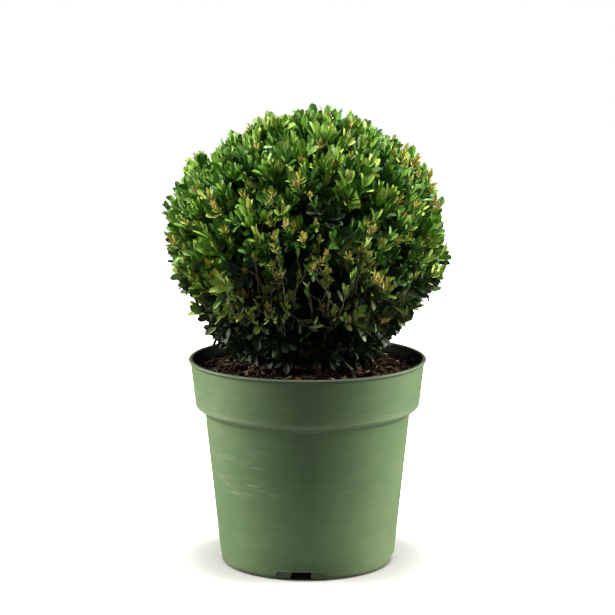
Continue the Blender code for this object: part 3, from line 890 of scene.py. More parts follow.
def makeBoughs():
    m = limbs
    bm = bmesh.new()
    for mass in masses:
        way = mass.stubWay()
        points = [m["fork"] + way * 0.003, m["fork"] + way * m["stub"] * 0.5]
        shares = [k / m["boughSpans"] for k in range(m["boughSpans"] + 1)]
        points += [mass.boughPoint(share) for share in shares]
        radii = [m["boughFoot"] * 1.25, m["boughFoot"] * 1.12]
        radii += [between(m["boughFoot"], m["boughTip"], share) for share in shares]
        limbMesh(bm, points, radii, m["boughSides"], 0.22)
    bmesh.ops.recalc_face_normals(bm, faces=bm.faces)
    boughs = objectFrom("holly_boughs", meshOf("holly_boughs", bm), [bpy.data.materials["grey_brown_bark"]])
    boughs.data.shade_smooth()
    place(boughs, boughNodes)


makeTrunk()
makeBoughs()
print("trunk and boughs made")


# stems, shoots and leaves

growth = {
    "seed": 7,
    "branchlets": 16,
    "shootLattice": 1920,
    "lowShoots": 200,
    "innerShoots": 580,
    "frontStems": 38,
    "stemRadius": (0.0019, 0.0013),
    "branchletRadius": (0.0013, 0.0009),
    "shootRadius": (0.0009, 0.00050),
    "frontStemRadius": (0.0010, 0.0005),
    "leafLength": 0.0205,
    "leafWidth": 0.0080,
    "leavesPerShoot": 13,
    "lowLeavesPerShoot": 9,
    "leafSpacing": 0.0035,
    "leafTilt": (14, 52),
    "leafLift": 0.22,
    "lift": 1.0,
    "clump": 0.34,
    "stray": 0.0060,
    "limeShare": 0.26,
    "tuftShare": 0.095,
    "bareNeck": 0.0075,
    "sideways": 0.35,
    "shadeLine": -0.12,
    "lowSprigs": 0.20,
    "sprigSlim": 0.76,
    "blades": [(0.30, 0.05, 0.0), (0.45, 0.12, 0.25), (0.22, -0.05, -0.3), (0.55, 0.18, -0.1)],
    "leavesPerPiece": 8000,
    "soilGap": 0.003,
    "lipGap": 0.004,
    "insideLip": 0.106,
    "lowestTip": 0.008,
    "lowReach": (0.104, 0.092),
    "proudTip": Vector((0.0085, 0.020, 0.1335)),
    "proudLeaves": [(-0.16, 0.0172, 0.0092), (0.75, 0.0120, 0.0056)],
    "markedStray": 0.0045,
    "markedGap": (5.5, 0.0085),
    "lowProud": (0.0020, -0.0060),
    "dryShoots": 46,
    "hollowDepths": (0.22, 0.36, 0.50, 0.62),
    "lighter": [
        # azimuth, elevation, width in degrees, amount
        (-10, 25, 6, 0.30), (26, 9, 9, 0.55), (20, 1, 7, 0.46), (30, -5, 9, 0.40), (23, -20, 9, 0.60),
        (-38, -8, 9, 0.50), (-42, -16, 10, 0.50), (-22, -20, 10, 0.60), (-54, 13, 8, 0.30), (-52, 0, 9, 0.42),
        (24, 33, 8, 0.46), (16, 41, 7, 0.20), (10, 60, 10, 0.54), (-16, 44, 8, 0.34), (-70, 68, 12, 0.20),
        (76, 38, 9, 0.20), (50, 22, 8, 0.26), (-84, 22, 12, 0.14), (-39, 31, 8, 0.16), (3, 2, 7, 0.34),
    ],
    "darker": [
        (-20, 33, 8, -0.26), (30, 57, 7, -0.10), (41, 4, 8, -0.25), (12, 7, 5, -0.40), (-26, 49, 7, -0.20),
        (-3, 50, 6, -0.18), (-28, 3, 7, -0.26), (57, 6, 7, -0.14),
        (6, 31, 9, -0.55), (-1, 26, 7, -0.40), (-20, 0, 11, -0.26), (13, 14, 8, -0.50), (23, 24, 6, -0.34),
        (-22, 14, 8, -0.20), (50, 8, 9, -0.16), (54, -15, 12, -0.20), (59, 42, 8, -0.24),
        (-51, 42, 10, -0.18),
        (50, 57, 11, -0.26),
    ],
    "openings": [
        # azimuth, elevation, half-width of the open part, of its edge, share of the shoots left out
        (6, -20, 22, 54, 0.90), (6, 29, 5, 13, 0.85), (13, 11, 4, 10, 0.70), (-19, -3, 4, 10, 0.55),
        (-37, -25, 7, 20, 0.45), (40, -25, 7, 20, 0.42),
    ],
    "tufts": [
        # azimuth, elevation, size
        (-3, 39, 1.40), (-5, 37, 0.90), (2, 32, 0.72), (-8, 20, 0.92), (4, 21, 0.80), (-12, 15, 0.95),
        (-1, 15, 0.90), (33, -5, 1.20), (30, -3, 1.00), (27, -2, 0.95), (22, -23, 0.90), (62, 44, 1.20),
        (70, 40, 1.45), (66, 36, 1.10), (79, 33, 1.35), (74, 29, 1.10), (73, 22, 1.00), (-44, 28, 1.10),
        (-40, 25, 0.90), (-66, 9, 1.10), (-36, 55, 1.00), (27, 17, 0.90), (-18, -16, 0.80), (8, 9, 0.70),
        (3, 4, 0.75), (-97, 40, 1.10),
    ],
    "sprigs": [
        # azimuth, elevation, size of the leaves, look of the tip's leaves
        (-37, -3, 0.88, 6), (-35, -8, 0.82, 5), (-10, 27, 0.85, 5), (-25, 26, 0.95, 5), (20, 33, 1.20, 3),
        (-56, -3, 0.92, 6), (-53, -7, 0.85, 5), (-44, -12, 0.90, 4), (-48, -21, 0.80, 6), (-34, -20, 0.78, 6),
        (-28, -20, 0.74, 6), (-24, -15, 0.70, 5), (-20, -22, 0.72, 5), (-16, -18, 0.70, 6),
        (-9, -12, 0.66, 6),
        (25, 12, 0.85, 6), (26, 7, 0.78, 5), (31, 22, 0.85, 4), (84, 2, 0.92, 5), (70, -4, 0.80, 6),
        (38, -7, 0.72, 5), (48, -13, 1.15, 3), (42, -22, 1.10, 2), (35, -29, 1.05, 2), (-66, 24, 0.85, 4),
        (-61, 17, 0.90, 4), (-38, 9, 0.85, 4), (14, -18, 0.72, 5), (24, -16, 0.76, 6), (20, -22, 0.72, 5),
        (5, -25, 0.70, 4), (-44, 16, 0.88, 4), (60, 3, 0.85, 4), (52, 20, 0.85, 4), (-58, -28, 0.90, 2),
    ],
    "reachSteps": [(-140, 79, 17, -0.062), (112, 66, 14, 0.016)],
}
leafLooks = {
    # from the shaded inside to the young tips: upper face, under face, roughness, gloss
    "deep": ((0.013, 0.040, 0.015), (0.024, 0.058, 0.025), 0.46, 0.22),
    "dark": ((0.017, 0.074, 0.015), (0.034, 0.100, 0.030), 0.38, 0.42),
    "mid": ((0.047, 0.160, 0.015), (0.068, 0.184, 0.034), 0.36, 0.46),
    "bright": ((0.122, 0.290, 0.026), (0.142, 0.300, 0.048), 0.36, 0.46),
    "lime": ((0.285, 0.440, 0.076), (0.290, 0.440, 0.105), 0.38, 0.40),
    "gold": ((0.430, 0.485, 0.110), (0.430, 0.475, 0.140), 0.42, 0.34),
    # the greyer leaves of the ball's lower half, their colour holding painted shade and sheen
    "shade": ((0.023, 0.048, 0.022), (0.046, 0.076, 0.042), 0.35, 0.42),
    "sage": ((0.076, 0.138, 0.044), (0.108, 0.170, 0.070), 0.36, 0.42),
    # pale: painted light, a brighter lime for the sprigs' young tips
    "pale": ((0.520, 0.650, 0.180), (0.520, 0.640, 0.210), 0.42, 0.34),
}
looks = ["deep", "dark", "mid", "bright", "lime", "gold", "pale"]
lowLooks = ["deep", "shade", "sage", "sage", "pale", "gold", "pale"]


def leafFinish(name, colour, roughness, gloss, warmth):
    f = Finish(name)
    tone = f.grain(38.0, 3.0, 0.6).ramp(0.30, 0.72)
    blotch = f.grain(260.0, 2.0, 0.5).ramp(0.35, 0.70)
    deeper = (colour[0] * 0.52, colour[1] * 0.64, colour[2] * 0.58)
    warmer = (colour[0] * warmth + 0.004, colour[1] * 1.16, colour[2] * 0.95)
    shade = f.mix(deeper, warmer, tone * 0.72 + blotch * 0.28)
    normal = f.bump(f.grain(700.0, 2.0, 0.5), 0.00022, 0.5)
    f.shader.inputs["IOR"].default_value = 1.47
    f.shader.inputs["Specular IOR Level"].default_value = gloss
    return f.done(Base_Color=shade, Roughness=roughness + blotch * 0.10 + 0.05, Normal=normal)


budLooks = {
    "straw": ((0.240, 0.245, 0.030), (0.460, 0.440, 0.070)),
    # painted light: a brighter straw for the dimly lit front tufts
    "wheat": ((0.320, 0.300, 0.050), (0.600, 0.550, 0.130)),
    "tan": ((0.230, 0.140, 0.045), (0.480, 0.330, 0.120)),
}


def budFinish(look):
    dark, pale = budLooks[look]
    f = Finish(f"bud_scales_{look}")
    tone = f.grain(160.0, 3.0, 0.6).ramp(0.36, 0.66)
    normal = f.bump(f.grain(900.0, 2.0, 0.5), 0.0003, 0.6)
    return f.done(Base_Color=f.mix(dark, pale, tone), Roughness=0.62 - tone * 0.12, Normal=normal)


def leafTemplate(cup, curl, twist):
    # a blade 1 long and 1 wide, its stalk at the origin, with an upper and an under face
    rows = (0, 0.23, 0.56, 0.87, 1.0)
    widths = (0.0, 0.50, 1.0, 0.78, 0.0)
    spans = len(rows) - 1
    bm = bmesh.new()
    bmesh.ops.create_grid(bm, x_segments=2, y_segments=spans, size=0.5)
    for vertex in bm.verts:
        t = rows[round((vertex.co.y + 0.5) * spans)]
        u = vertex.co.x * 2
        half = 0.5 * widths[rows.index(t)]
        lean = twist * (t - 0.3)
        vertex.co = Vector((u * half, t, cup * abs(u) * half + lean * u * half - curl * t * t))
    bmesh.ops.remove_doubles(bm, verts=bm.verts, dist=1e-4)
    bmesh.ops.recalc_face_normals(bm, faces=bm.faces)
    if sum(face.normal.z for face in bm.faces) < 0:
        bmesh.ops.reverse_faces(bm, faces=bm.faces)
    under = bmesh.ops.duplicate(bm, geom=bm.verts[:] + bm.edges[:] + bm.faces[:])["geom"]
    underFaces = [item for item in under if isinstance(item, bmesh.types.BMFace)]
    underPoints = [item for item in under if isinstance(item, bmesh.types.BMVert)]
    bmesh.ops.reverse_faces(bm, faces=underFaces)
    for vertex in underPoints:
        if abs(vertex.co.x) < 1e-6 and 0.01 < vertex.co.y < 0.99:
            vertex.co.z -= 0.035
    for face in underFaces:
        face.material_index = 1
    bmesh.ops.remove_doubles(bm, verts=bm.verts, dist=1e-5)
    return templateOf(bm)


def budTemplate():
    bm = bmesh.new()
    bmesh.ops.create_cone(bm, cap_ends=True, segments=4, radius1=0.34, radius2=0.16, depth=0.6)
    tip = bmesh.ops.create_vert(bm, co=(0, 0, 0.62))["vert"][0]
    top = max(bm.faces, key=lambda face: face.calc_center_median().z)
    ring = list(top.verts)
    bmesh.ops.delete(bm, geom=[top], context="FACES_ONLY")
    for a, b in zip(ring, ring[1:] + ring[:1]):
        bm.faces.new((a, b, tip))
    bmesh.ops.translate(bm, verts=bm.verts, vec=(0, 0, 0.3))
    bmesh.ops.rotate(bm, verts=bm.verts, cent=(0, 0, 0), matrix=Matrix.Rotation(math.radians(-90), 3, "X"))
    bmesh.ops.recalc_face_normals(bm, faces=bm.faces)
    return templateOf(bm)


class Tubes:
    # thin stems gathered as arrays, then joined in one mesh
    def __init__(self, sides):
        self.sides = sides
        self.points, self.loops, self.sizes = [], [], []
        angles = [2 * math.pi * j / sides for j in range(sides)]
        self.turns = [(math.cos(a), math.sin(a)) for a in angles]

    def add(self, path, radii):
        n, last = self.sides, len(path) - 1
        start = len(self.points)
        side = None
        for k, point in enumerate(path):
            way = (path[min(k + 1, last)] - path[max(k - 1, 0)]).normalized()
            side = levelled(side, way)
            other = way.cross(side)
            for c, s in self.turns:
                self.points.append(point + (side * c + other * s) * radii[k])
        for k in range(last):
            low, high = start + k * n, start + (k + 1) * n
            for j in range(n):
                self.loops += [low + j, low + (j + 1) % n, high + (j + 1) % n, high + j]
                self.sizes.append(4)
        self.loops += [start + j for j in reversed(range(n))] + [start + last * n + j for j in range(n)]
        self.sizes += [n, n]

    def piece(self, name, material):
        points = np.array([p[:] for p in self.points])
        slots = np.zeros(len(self.sizes))
        return meshFrom(name, points, np.array(self.loops), np.array(self.sizes), slots, [material], 70)


def taper(ends, count):
    return [between(ends[0], ends[1], k / (count - 1)) for k in range(count)]


def latticeWay(k, count):
    height = 1 - 2 * (k + 0.5) / count
    level = math.sqrt(1 - height * height)
    return Vector((level * math.cos(goldenAngle * k), level * math.sin(goldenAngle * k), height))


def jitter(rng, amount):
    return Vector((rng.gauss(0, amount), rng.gauss(0, amount), rng.gauss(0, amount)))


class Crown:
    def __init__(self):
        self.rng = random.Random(growth["seed"])
        self.stems = Tubes(6)
        self.shoots = Tubes(4)
        self.leaves = {look: [] for look in leafLooks}
        self.buds = {look: [] for look in budLooks}
        self.blades = [leafTemplate(*shape) for shape in growth["blades"]]
        self.bud = budTemplate()
        self.branchlets = {}
        self.stray = growth["stray"]
        self.slim = 1.0
        self.marked = [direction(*spot[:2]) for spot in growth["sprigs"] + growth["tufts"]]

    def growStems(self):
        # each mass has its stem, and branchlets that fan from it and from its bough
        rng = self.rng
        for number, mass in enumerate(masses):
            path = [mass.stemPoint(k / 5) for k in range(6)]
            self.stems.add(path, taper(growth["stemRadius"], 6))
            lines = []
            for k in range(growth["branchlets"] * len(masses)):
                way = latticeWay(k, growth["branchlets"] * len(masses))
                if ownerOf(way) != number:
                    continue
                share = rng.uniform(0.0, 1.0)
                fromBough = rng.random() < 0.35
                start = mass.boughPoint(rng.uniform(0.72, 1)) if fromBough else mass.stemPoint(share)
                end = crown["centre"] + way * crownReach(way) * rng.uniform(0.70, 0.80)
                endWay = (way + up * 0.5).normalized()
                path = shaken(strand(start, mass.stemWay, end, endWay, 6), rng, 0.0006)
                self.stems.add(path, taper(growth["branchletRadius"], 7))
                lines.append((way, path, rng.gauss(0, 0.0032), rng.gauss(0, 0.14)))
            self.branchlets[number] = lines

    def nearestLine(self, number, way):
        return max(self.branchlets[number], key=lambda line: line[0].dot(way) + self.rng.uniform(0, 0.02))

    def growShoot(self, start, startWay, end, endWay, tones, count, leafScale=1.0, buds=0):
        path = strand(start, startWay, end, endWay, 6)
        self.shoots.add(path, taper(growth["shootRadius"], 7))
        self.dressShoot(path, tones, count, leafScale, growth["bareNeck"] if buds else 0.0)
        if buds:
            self.addTuft(path[-1], (path[-1] - path[-2]).normalized(), buds)

    def dressShoot(self, path, tones, count, leafScale, bare=0.0):
        # tones: the numbers of the lowest leaf's look and the tip's
        g, rng = growth, self.rng
        way = (path[-1] - path[-2]).normalized()
        side = way.orthogonal().normalized()
        turn = rng.uniform(0, 2 * math.pi)
        lengths = [(a - b).length for a, b in zip(path[1:], path)]
        for k in range(count):
            along = g["leafSpacing"] * (k * rng.uniform(0.92, 1.08)) + 0.0006 + bare
            root, way = self.pointBack(path, lengths, along)
            side = levelled(side, way)
            other = way.cross(side)
            turn += goldenAngle + rng.gauss(0, 0.25)
            share = clamp(along / (g["leafSpacing"] * g["leavesPerShoot"]))
            tilt = math.radians(between(*g["leafTilt"], share) + rng.gauss(0, 8))
            size = between(0.60, 1.0, clamp(k / 3)) * rng.uniform(0.84, 1.12) * leafScale
            out = side * math.cos(turn) + other * math.sin(turn)
            outward = (root - crown["centre"]).normalized()
            out = (out - outward * max(0, out.dot(outward)) * g["sideways"]).normalized()
            leafWay = (way * math.cos(tilt) + out * math.sin(tilt) + up * g["leafLift"]).normalized()
            face = way * math.sin(tilt) - out * math.cos(tilt) + jitter(rng, 0.22)
            length = g["leafLength"] * size
            width = g["leafWidth"] * self.slim * size * rng.uniform(0.86, 1.10)
            if not self.leafFits(root, leafWay, length):
                continue
            tone = max(tones[0], tones[1] - int((k + rng.uniform(0, 2)) / 3.5))
            axes = axesFrom(leafWay, face, length, width, width)
            # leaves low on the ball take the greyer looks: painted shade
            low = root.z < crown["centre"].z - 0.010 + rng.gauss(0, 0.016)
            self.leaves[(lowLooks if low else looks)[tone]].append((rng.choice(self.blades), axes, root[:]))

    def pointBack(self, path, lengths, along):
        k = len(lengths) - 1
        while k > 0 and along > lengths[k]:
            along -= lengths[k]
            k -= 1
        way = (path[k + 1] - path[k]).normalized()
        return path[k + 1] - way * min(along, lengths[k]), way

    def leafFits(self, root, way, length):
        tip = root + way * length
        fromCentre = tip - crown["centre"]
        reach = crownReach(fromCentre.normalized()) + self.stray + self.rng.uniform(-0.002, 0.003)
        if fromCentre.length > reach:
            return False
        for t in (0.5, 1.0):
            point = root + way * length * t
            if point.z < soil["top"] + growth["soilGap"]:
                return False
            pastWall = math.hypot(point.x, point.y) > growth["insideLip"]
            if point.z < pot["height"] + growth["lipGap"] and pastWall:
                return False
        return True

    def addTuft(self, tip, way, count, size=1.0, fresh="straw"):
        # a brush of narrow young leaflets, tan bud scales at its foot
        rng = self.rng
        size *= rng.uniform(0.72, 1.20)
        tanShare = 0.18 if rng.random() < 0.78 else 0.60
        side = way.orthogonal().normalized()
        turn = rng.uniform(0, 2 * math.pi)
        for k in range(count):
            share = k / count  # 0 at the brush's middle, 1 at its outside
            turn += goldenAngle
            out = side * math.cos(turn) + way.cross(side) * math.sin(turn)
            tilt = math.radians(6 + 50 * share + rng.gauss(0, 7))
            spread = (way * math.cos(tilt) + out * math.sin(tilt)).normalized()
            length = (0.0092 - 0.0030 * share) * size * rng.uniform(0.85, 1.15)
            width = length * rng.uniform(0.13, 0.20)
            root = tip - way * (0.0050 * share * size)
            dry = rng.random() < tanShare + 0.30 * share - 0.15
            shape = self.bud if dry and rng.random() < 0.35 else rng.choice(self.blades)
            axes = axesFrom(spread, way - out * 0.5 + jitter(rng, 0.3), length, width, width)
            self.buds["tan" if dry else fresh].append((shape, axes, root[:]))

    def patchTone(self, way):
        # sprays that the photo shows lighter or darker than those round them
        # painted light and shade: the listed sprays shift the leaves' looks lighter or darker
        tone = 0.0
        for azimuth, elevation, width, amount in growth["lighter"] + growth["darker"]:
            tone += amount * clamp(1.5 - apart(way, azimuth, elevation) / width)
        return tone

    def shootTones(self, way, depth):
        # painted light and shade: bright on the top and outside, dark below and inside
        rng = self.rng
        patch = self.patchTone(way) * (1 if way.z > growth["shadeLine"] else 0.3)
        light = 0.62 * way.z + 0.34 * abs(way.x) + 0.10 + rng.gauss(0, 0.17) + depth + patch
        if light > 0.42:
            return 2, 3
        if light > 0.08:
            return 1, 2 if rng.random() < 0.55 else 3
        if light > -0.22:
            return 1, 1 if rng.random() < 0.4 else 2
        return 0, 0 if rng.random() < 0.6 else 1

    def openness(self, way):
        # the share of shoots that is missing in the open lower front and in the hollows
        most = 0.0
        for azimuth, elevation, near, far, share in growth["openings"]:
            edge = clamp((far - apart(way, azimuth, elevation)) / (far - near))
            most = max(most, share * edge)
        return most * (1 - 1.6 * clamp(self.patchTone(way), 0, 0.45))

    def skinReach(self, way):
        # the crown's reach, with the places where the shears took more or less
        share = 1.0
        for azimuth, elevation, width, amount in growth["reachSteps"]:
            share += amount * clamp(1.6 - 1.6 * apart(way, azimuth, elevation) / width)
        return crownReach(way) * share

    def growShoots(self):
        g, rng = growth, self.rng
        for k in range(g["shootLattice"]):
            way = latticeWay(k, g["shootLattice"])
            number = ownerOf(way)
            if number >= len(masses):
                continue
            if rng.random() < self.openness(way):
                continue
            lineWay, line, proud, lit = self.nearestLine(number, way)
            way = (way * (1 - g["clump"]) + lineWay * g["clump"] + jitter(rng, 0.018)).normalized()
            patch = self.patchTone(way)
            shaded = way.z < g["shadeLine"]
            sprig = shaded and rng.random() < (g["lowSprigs"] + patch * 0.8) * clamp((way.z + 0.55) * 6)
            reach = self.skinReach(way) - g["leafLength"] * 0.40 - abs(rng.gauss(0, 0.0052)) + proud
            if shaded:
                reach += g["lowProud"][0 if sprig else 1]
            if min(way.angle(spot) for spot in self.marked) < math.radians(g["markedGap"][0]):
                reach -= g["markedGap"][1]
            end = crown["centre"] + way * reach
            endWay = (way * (0.62 + 0.5 * min(0, way.z)) + up * g["lift"] + jitter(rng, 0.15)).normalized()
            at = rng.randint(3, 6)
            start = line[at]
            startWay = (line[at] - line[at - 1]).normalized()
            low, tip = self.shootTones(way, lit)
            lime = g["limeShare"] * (1.3 if way.x < -0.2 or way.z > 0.5 else 1) + patch
            if sprig:
                low, tip = 1, 4 if rng.random() < 0.65 else 3
            elif shaded:
                low, tip = 0, min(tip, 1 if rng.random() < 0.7 else 2)
            elif rng.random() < lime:
                tip = 4 if rng.random() < 0.55 else 5
            tuft = g["tuftShare"] * (1.5 if abs(way.z) < 0.45 else 0.8) + patch * 0.3
            buds = rng.randint(14, 20) if rng.random() < tuft else 0
            count = g["lowLeavesPerShoot" if shaded else "leavesPerShoot"] + rng.randint(-2, 1)
            leafScale = rng.uniform(0.80, 1.15) if shaded else between(0.62, 1.12, rng.random() ** 1.3)
            self.growShoot(start, startWay, end, endWay, (low, tip), count, leafScale, buds)

    def growInnerShoots(self):
        # short shaded shoots that fill the ball behind its skin
        g, rng = growth, self.rng
        for k in range(g["innerShoots"]):
            way = latticeWay(k, g["innerShoots"])
            number = ownerOf(way)
            if number >= len(masses):
                continue
            missing = self.openness(way)
            hollow = way.z > 0 and missing > 0.3
            if not hollow and rng.random() < missing:
                continue
            lineWay, line, proud, lit = self.nearestLine(number, way)
            for depth in g["hollowDepths"] if hollow else [rng.uniform(0.36, 0.80)]:
                start = line[rng.randint(1, 4)]
                end = crown["centre"] + (way + jitter(rng, 0.03)) * crownReach(way) * depth
                endWay = (way + up * 0.7 + jitter(rng, 0.3)).normalized()
                # painted shade: the inner and hollow shoots take the darkest looks
                tone = 0 if hollow or rng.random() < 0.7 else 1
                self.growShoot(start, lineWay, end, endWay, (tone, tone), 7, 1.05)

    def growLowShoots(self):
        # sparse dark shoots in the open front and under the ball, down to the soil
        g, rng = growth, self.rng
        made = 0
        while made < g["lowShoots"]:
            way = Vector((rng.gauss(0, 1), rng.gauss(0, 1), rng.uniform(-1.1, -0.15))).normalized()
            if ownerOf(way) < len(masses) and rng.random() < 0.6:
                continue
            reach = crownReach(way) * rng.uniform(0.50, 0.93)
            end = crown["centre"] + way * reach
            outside = math.hypot(end.x, end.y)
            overLip = outside > g["lowReach"][0] and end.z < pot["height"] + g["lowestTip"]
            if end.z < soil["top"] + g["lowestTip"] or overLip:
                end.z = max(end.z, soil["top"] + rng.uniform(0.010, 0.030))
                if outside > g["lowReach"][1]:
                    continue
            endFrom = (end - crown["centre"]).normalized()
            boughWays = [(m.boughPoint(0.4) - crown["centre"]).normalized() for m in ringMasses]
            scores = [boughWay.dot(endFrom) + rng.uniform(0, 0.3) for boughWay in boughWays]
            mass = ringMasses[scores.index(max(scores))]
            start = mass.boughPoint(rng.uniform(0.1, 0.7))
            level = Vector((end.x, end.y, 0))
            endWay = (level * 6 + up * rng.uniform(0.1, 0.9) + jitter(rng, 0.3)).normalized()
            # painted shade: the shoots under the ball take the darkest looks
            tone = 0 if rng.random() < 0.75 else 1
            startWay = (mass.stubWay() + jitter(rng, 0.3)).normalized()
            tones = (tone, max(tone, int(rng.random() < 0.3)))
            self.growShoot(start, startWay, end, endWay, tones, 7, 0.92)
            made += 1

    def growFrontStems(self):
        # thin stems that rise through the open front, with small tufts at their tips
        g, rng = growth, self.rng
        for k in range(g["frontStems"]):
            azimuth = rng.uniform(-48, 52)
            way = direction(azimuth, rng.uniform(-26, 16))
            end = crown["centre"] + way * crownReach(way) * rng.uniform(0.80, 0.97)
            middles = [m.boughPoint(0.5) for m in ringMasses]
            scores = [abs(p.x - end.x * 0.5) + abs(p.y + 0.03) + rng.uniform(0, 0.02) for p in middles]
            start = ringMasses[scores.index(min(scores))].boughPoint(rng.uniform(0.0, 0.45))
            startWay = (direction(azimuth + rng.gauss(0, 14), 0) + up * rng.uniform(0.7, 1.5)).normalized()
            endWay = (up + direction(azimuth, 0) * rng.uniform(0.0, 0.35) + jitter(rng, 0.08)).normalized()
            path = shaken(strand(start, startWay, end, endWay, 10, (0.30, 0.50)), rng, 0.0007)
            self.stems.add(path, taper(g["frontStemRadius"], 11))
            # painted shade: darker leaves below the ball's middle
            tone = 0 if end.z < crown["centre"].z - 0.02 else 1
            luck = rng.random()
            self.dressShoot(path[-4:], (tone, 4 if luck < 0.4 else 2), rng.randint(2, 5), 0.66)
            if luck > 0.45:
                # the front stems' tufts take the brighter straw, painted light
                self.addTuft(path[-1], endWay, rng.randint(10, 16), 0.85, "wheat")
            for j in range(rng.randint(1, 3)):
                at = rng.randint(4, 9)
                sideWay = direction(azimuth + rng.uniform(-90, 90), 0) + up * rng.uniform(0.6, 1.6)
                sideWay = sideWay.normalized()
                sideEnd = path[at] + sideWay * rng.uniform(0.012, 0.026)
                tones = (tone, rng.choice((1, 1, 2, 4)))
                alongStem = (path[at] - path[at - 1]).normalized()
                buds = rng.choice((0, 0, 9))
                self.growShoot(path[at], alongStem, sideEnd, up, tones, rng.randint(1, 3), 0.62, buds)

    def growDryShoots(self):
        # bare tan twigs with dry bud scales, mostly in the front
        g, rng = growth, self.rng
        for k in range(g["dryShoots"]):
            way = direction(rng.gauss(8, 34), rng.gauss(4, 22))
            number = ownerOf(way)
            if number >= len(masses):
                continue
            lineWay, line, proud, lit = self.nearestLine(number, way)
            end = crown["centre"] + way * (crownReach(way) - rng.uniform(0.004, 0.018))
            endWay = (way * 0.6 + up + jitter(rng, 0.2)).normalized()
            self.growShoot(line[4], lineWay, end, endWay, (1, 2), 1, 0.6, rng.randint(11, 16))

    def growMarked(self):
        # the sprigs and tufts that stand out in the photo
        g, rng = growth, self.rng
        self.stray = g["stray"] + g["markedStray"]
        self.slim = g["sprigSlim"]
        for azimuth, elevation, size, tip in g["sprigs"]:
            way = direction(azimuth, elevation)
            line = self.bestLine(way)
            end = crown["centre"] + way * (self.skinReach(way) - g["leafLength"] * 0.34)
            endWay = (way * 0.35 + up + jitter(rng, 0.10)).normalized()
            self.growShoot(line[4], (line[5] - line[4]).normalized(), end, endWay, (2, tip), 13, size)
        for azimuth, elevation, size in g["tufts"]:
            way = direction(azimuth, elevation)
            line = self.bestLine(way)
            end = crown["centre"] + way * (self.skinReach(way) - 0.0035)
            endWay = (way * 0.45 + up + jitter(rng, 0.15)).normalized()
            along = (line[5] - line[4]).normalized()
            path = strand(line[4], along, end, endWay, 6)
            self.shoots.add(path, taper(g["shootRadius"], 7))
            self.dressShoot(path, (1, 3), 4, 0.8, 0.011)
            # tufts below the top take the brighter straw, painted light
            self.addTuft(end, endWay, rng.randint(18, 25), size, "straw" if elevation > 30 else "wheat")

    def bestLine(self, way):
        lines = [line for own in self.branchlets.values() for line in own]
        return max(lines, key=lambda line: line[0].dot(way))[1]

    def growProudTip(self):
        # one leaf that stands above the clipped top
        root = crown["centre"] + growth["proudTip"]
        line = self.bestLine((root - crown["centre"]).normalized())
        path = strand(line[5], up, root, up, 6)
        self.shoots.add(path, taper(growth["shootRadius"], 7))
        for lean, length, width in growth["proudLeaves"]:
            leafWay = Vector((lean, 0, 1)).normalized()
            axes = axesFrom(leafWay, Vector((0.3, -1, 0)), length, width, width)
            self.leaves["mid"].append((self.blades[0], axes, root[:]))

    def finish(self):
        bark = barkFinish("twig_bark", limbs["twigBark"], limbs["paleTwigBark"], 0.55)
        green = barkFinish("green_twig_bark", limbs["greenBark"], limbs["paleTwigBark"], 0.20)
        place(self.stems.piece("holly_stems", bark), foliageNodes)
        place(self.shoots.piece("holly_shoots", green), foliageNodes)
        for look, (upper, underside, roughness, gloss) in leafLooks.items():
            warmth = 1.12 if look in ("lime", "gold", "pale") else 1.42
            materials = [
                leafFinish(f"leaf_{look}", upper, roughness, gloss, warmth),
                leafFinish(f"leaf_{look}_underside", underside, roughness + 0.22, gloss, warmth),
            ]
            placings, limit = self.leaves[look], growth["leavesPerPiece"]
            for k in range(0, len(placings), limit):
                label = f"holly_leaves_{look}" + (f"_{k // limit + 1}" if len(placings) > limit else "")
                place(repeated(label, placings[k:k + limit], materials, 62), foliageNodes)
        for look, placings in self.buds.items():
            finish = budFinish(look)
            place(repeated(f"holly_buds_{look}", placings, [finish, finish], 50), foliageNodes)
        print("leaves:", sum(len(p) for p in self.leaves.values()))


holly = Crown()
holly.growStems()
holly.growShoots()
holly.growInnerShoots()
holly.growLowShoots()
holly.growFrontStems()
holly.growDryShoots()
holly.growMarked()
holly.growProudTip()
holly.finish()
print("crown made")


# floor, light and camera

studio = {
    "floorSize": 7.0,
    "floorColour": (0.80, 0.80, 0.79),
    "paleFloor": (0.84, 0.84, 0.83),
    "underPot": (0.02, 0.02, 0.02),
    "paintedShadowFloor": (0.46, 0.46, 0.45),
    "floorGlow": (0.15, 0.46, 1.05),
    "sideLight": (62.0, 67.5),
    "sideColour": (1.0, 0.950, 0.870),
    "sideSize": (0.9, 1.3),
    "sideAzimuth": 97,
    "sideDistance": 1.45,
    "sideHeight": 0.62,
    "topLight": 70.0,
    "topSize": 0.7,
    "topSpot": Vector((0, -0.12, 1.75)),
    "cameraSpot": (0, -2.5, 0.696),
    "cameraPitch": 9.92,
    "lens": 148.04,
    "bounces": [
        # place, size, power
        ((0.01, -0.140, 0.003), (0.26, 0.05), 0.036),
        ((0.01, -0.225, 0.003), (0.34, 0.10), 0.044),
    ],
    "bounceColour": (0.80, 1.0, 0.80),
    "fill": 0.18,
    "backdrop": 1.0,
}


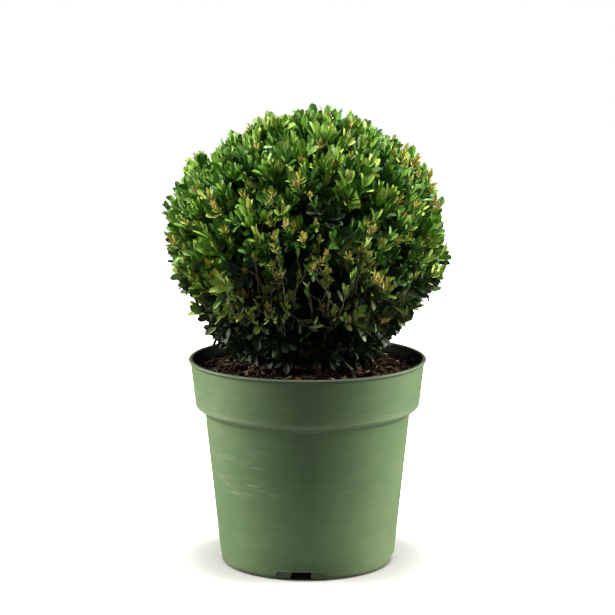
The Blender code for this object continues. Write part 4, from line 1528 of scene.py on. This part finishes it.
def makeFloor():
    f = Finish("pale_floor")
    tone = f.grain(3.0, 2.0, 0.5)
    colour = f.mix(studio["floorColour"], studio["paleFloor"], tone)
    x, y, z = f.axes()
    radius = (x * x + y * y) ** 0.5
    # painted shadow: the floor is darker close round the pot
    colour = f.mix(studio["paintedShadowFloor"], colour, radius.ramp(0.105, 0.190))
    colour = f.mix(studio["underPot"], colour, radius.ramp(0.078, 0.0885))  # in the pot's own shade
    shaded, near, white = studio["floorGlow"]
    # painted shadow: the floor glows less close round the pot, fully further out
    glow = radius.ramp(0.0835, 0.0890) * shaded + radius.ramp(0.100, 0.185) * (near - shaded)
    glow = glow + radius.ramp(0.18, 0.80) * (white - near)
    f.shader.inputs["Emission Strength"].default_value = white
    glowColour = f.mix((0, 0, 0), (1, 1, 1), glow * (1 / white))
    material = f.done(Base_Color=colour, Roughness=0.75, Emission_Color=glowColour)
    bm = bmesh.new()
    bmesh.ops.create_grid(bm, x_segments=4, y_segments=4, size=studio["floorSize"] / 2)
    bmesh.ops.translate(bm, verts=bm.verts, vec=(0, 0, -0.0004))
    floor = objectFrom("floor", meshOf("floor", bm), [material])
    floor.visible_diffuse = False  # keeps its light off the plant
    floor.visible_glossy = False


def areaLight(name, spot, target, power, colour, size, sizeY=None):
    data = bpy.data.lights.new(name, "AREA")
    data.energy = power
    data.color = colour
    data.shape = "RECTANGLE" if sizeY else "SQUARE"
    data.size = size
    if sizeY:
        data.size_y = sizeY
    light = bpy.data.objects.new(name, data)
    light.location = spot
    light.rotation_euler = (target - spot).to_track_quat("-Z", "Y").to_euler()
    light.visible_camera = False
    bpy.context.scene.collection.objects.link(light)


def makeLights():
    s = studio
    target = Vector((0, 0, 0.24))
    for name, sign, power in zip(("left_softbox", "right_softbox"), (-1, 1), s["sideLight"]):
        spot = direction(sign * s["sideAzimuth"], 0) * s["sideDistance"] + up * s["sideHeight"]
        areaLight(name, spot, target, power, s["sideColour"], *s["sideSize"])
    for spot, size, power in s["bounces"]:
        areaLight("floor_bounce", Vector(spot), Vector(spot) + up, power, s["bounceColour"], *size)
    areaLight("top_softbox", s["topSpot"], Vector((0, 0, 0.35)), s["topLight"], (1, 1, 1), s["topSize"])


def makeWorld():
    world = bpy.data.worlds.new("studio")
    bpy.context.scene.world = world
    world.use_nodes = True
    tree = world.node_tree
    tree.nodes.clear()
    path = tree.nodes.new("ShaderNodeLightPath")
    mixed = tree.nodes.new("ShaderNodeMixShader")
    out = tree.nodes.new("ShaderNodeOutputWorld")
    tree.links.new(path.outputs["Is Camera Ray"], mixed.inputs[0])
    for k, use in enumerate(("fill", "backdrop")):
        background = tree.nodes.new("ShaderNodeBackground")
        background.inputs["Strength"].default_value = studio[use]
        background.inputs["Color"].default_value = (1, 1, 1, 1)
        tree.links.new(background.outputs[0], mixed.inputs[k + 1])
    tree.links.new(mixed.outputs[0], out.inputs["Surface"])


def makeCamera():
    data = bpy.data.cameras.new("camera")
    data.lens = studio["lens"]
    data.sensor_width = 36
    data.clip_start, data.clip_end = 0.05, 60
    camera = bpy.data.objects.new("camera", data)
    camera.location = studio["cameraSpot"]
    camera.rotation_euler = (math.radians(90 - studio["cameraPitch"]), 0, 0)
    bpy.context.scene.collection.objects.link(camera)
    bpy.context.scene.camera = camera


makeFloor()
makeLights()
makeWorld()
makeCamera()
bpy.context.scene.view_settings.view_transform = "Standard"
print("floor, light and camera made")
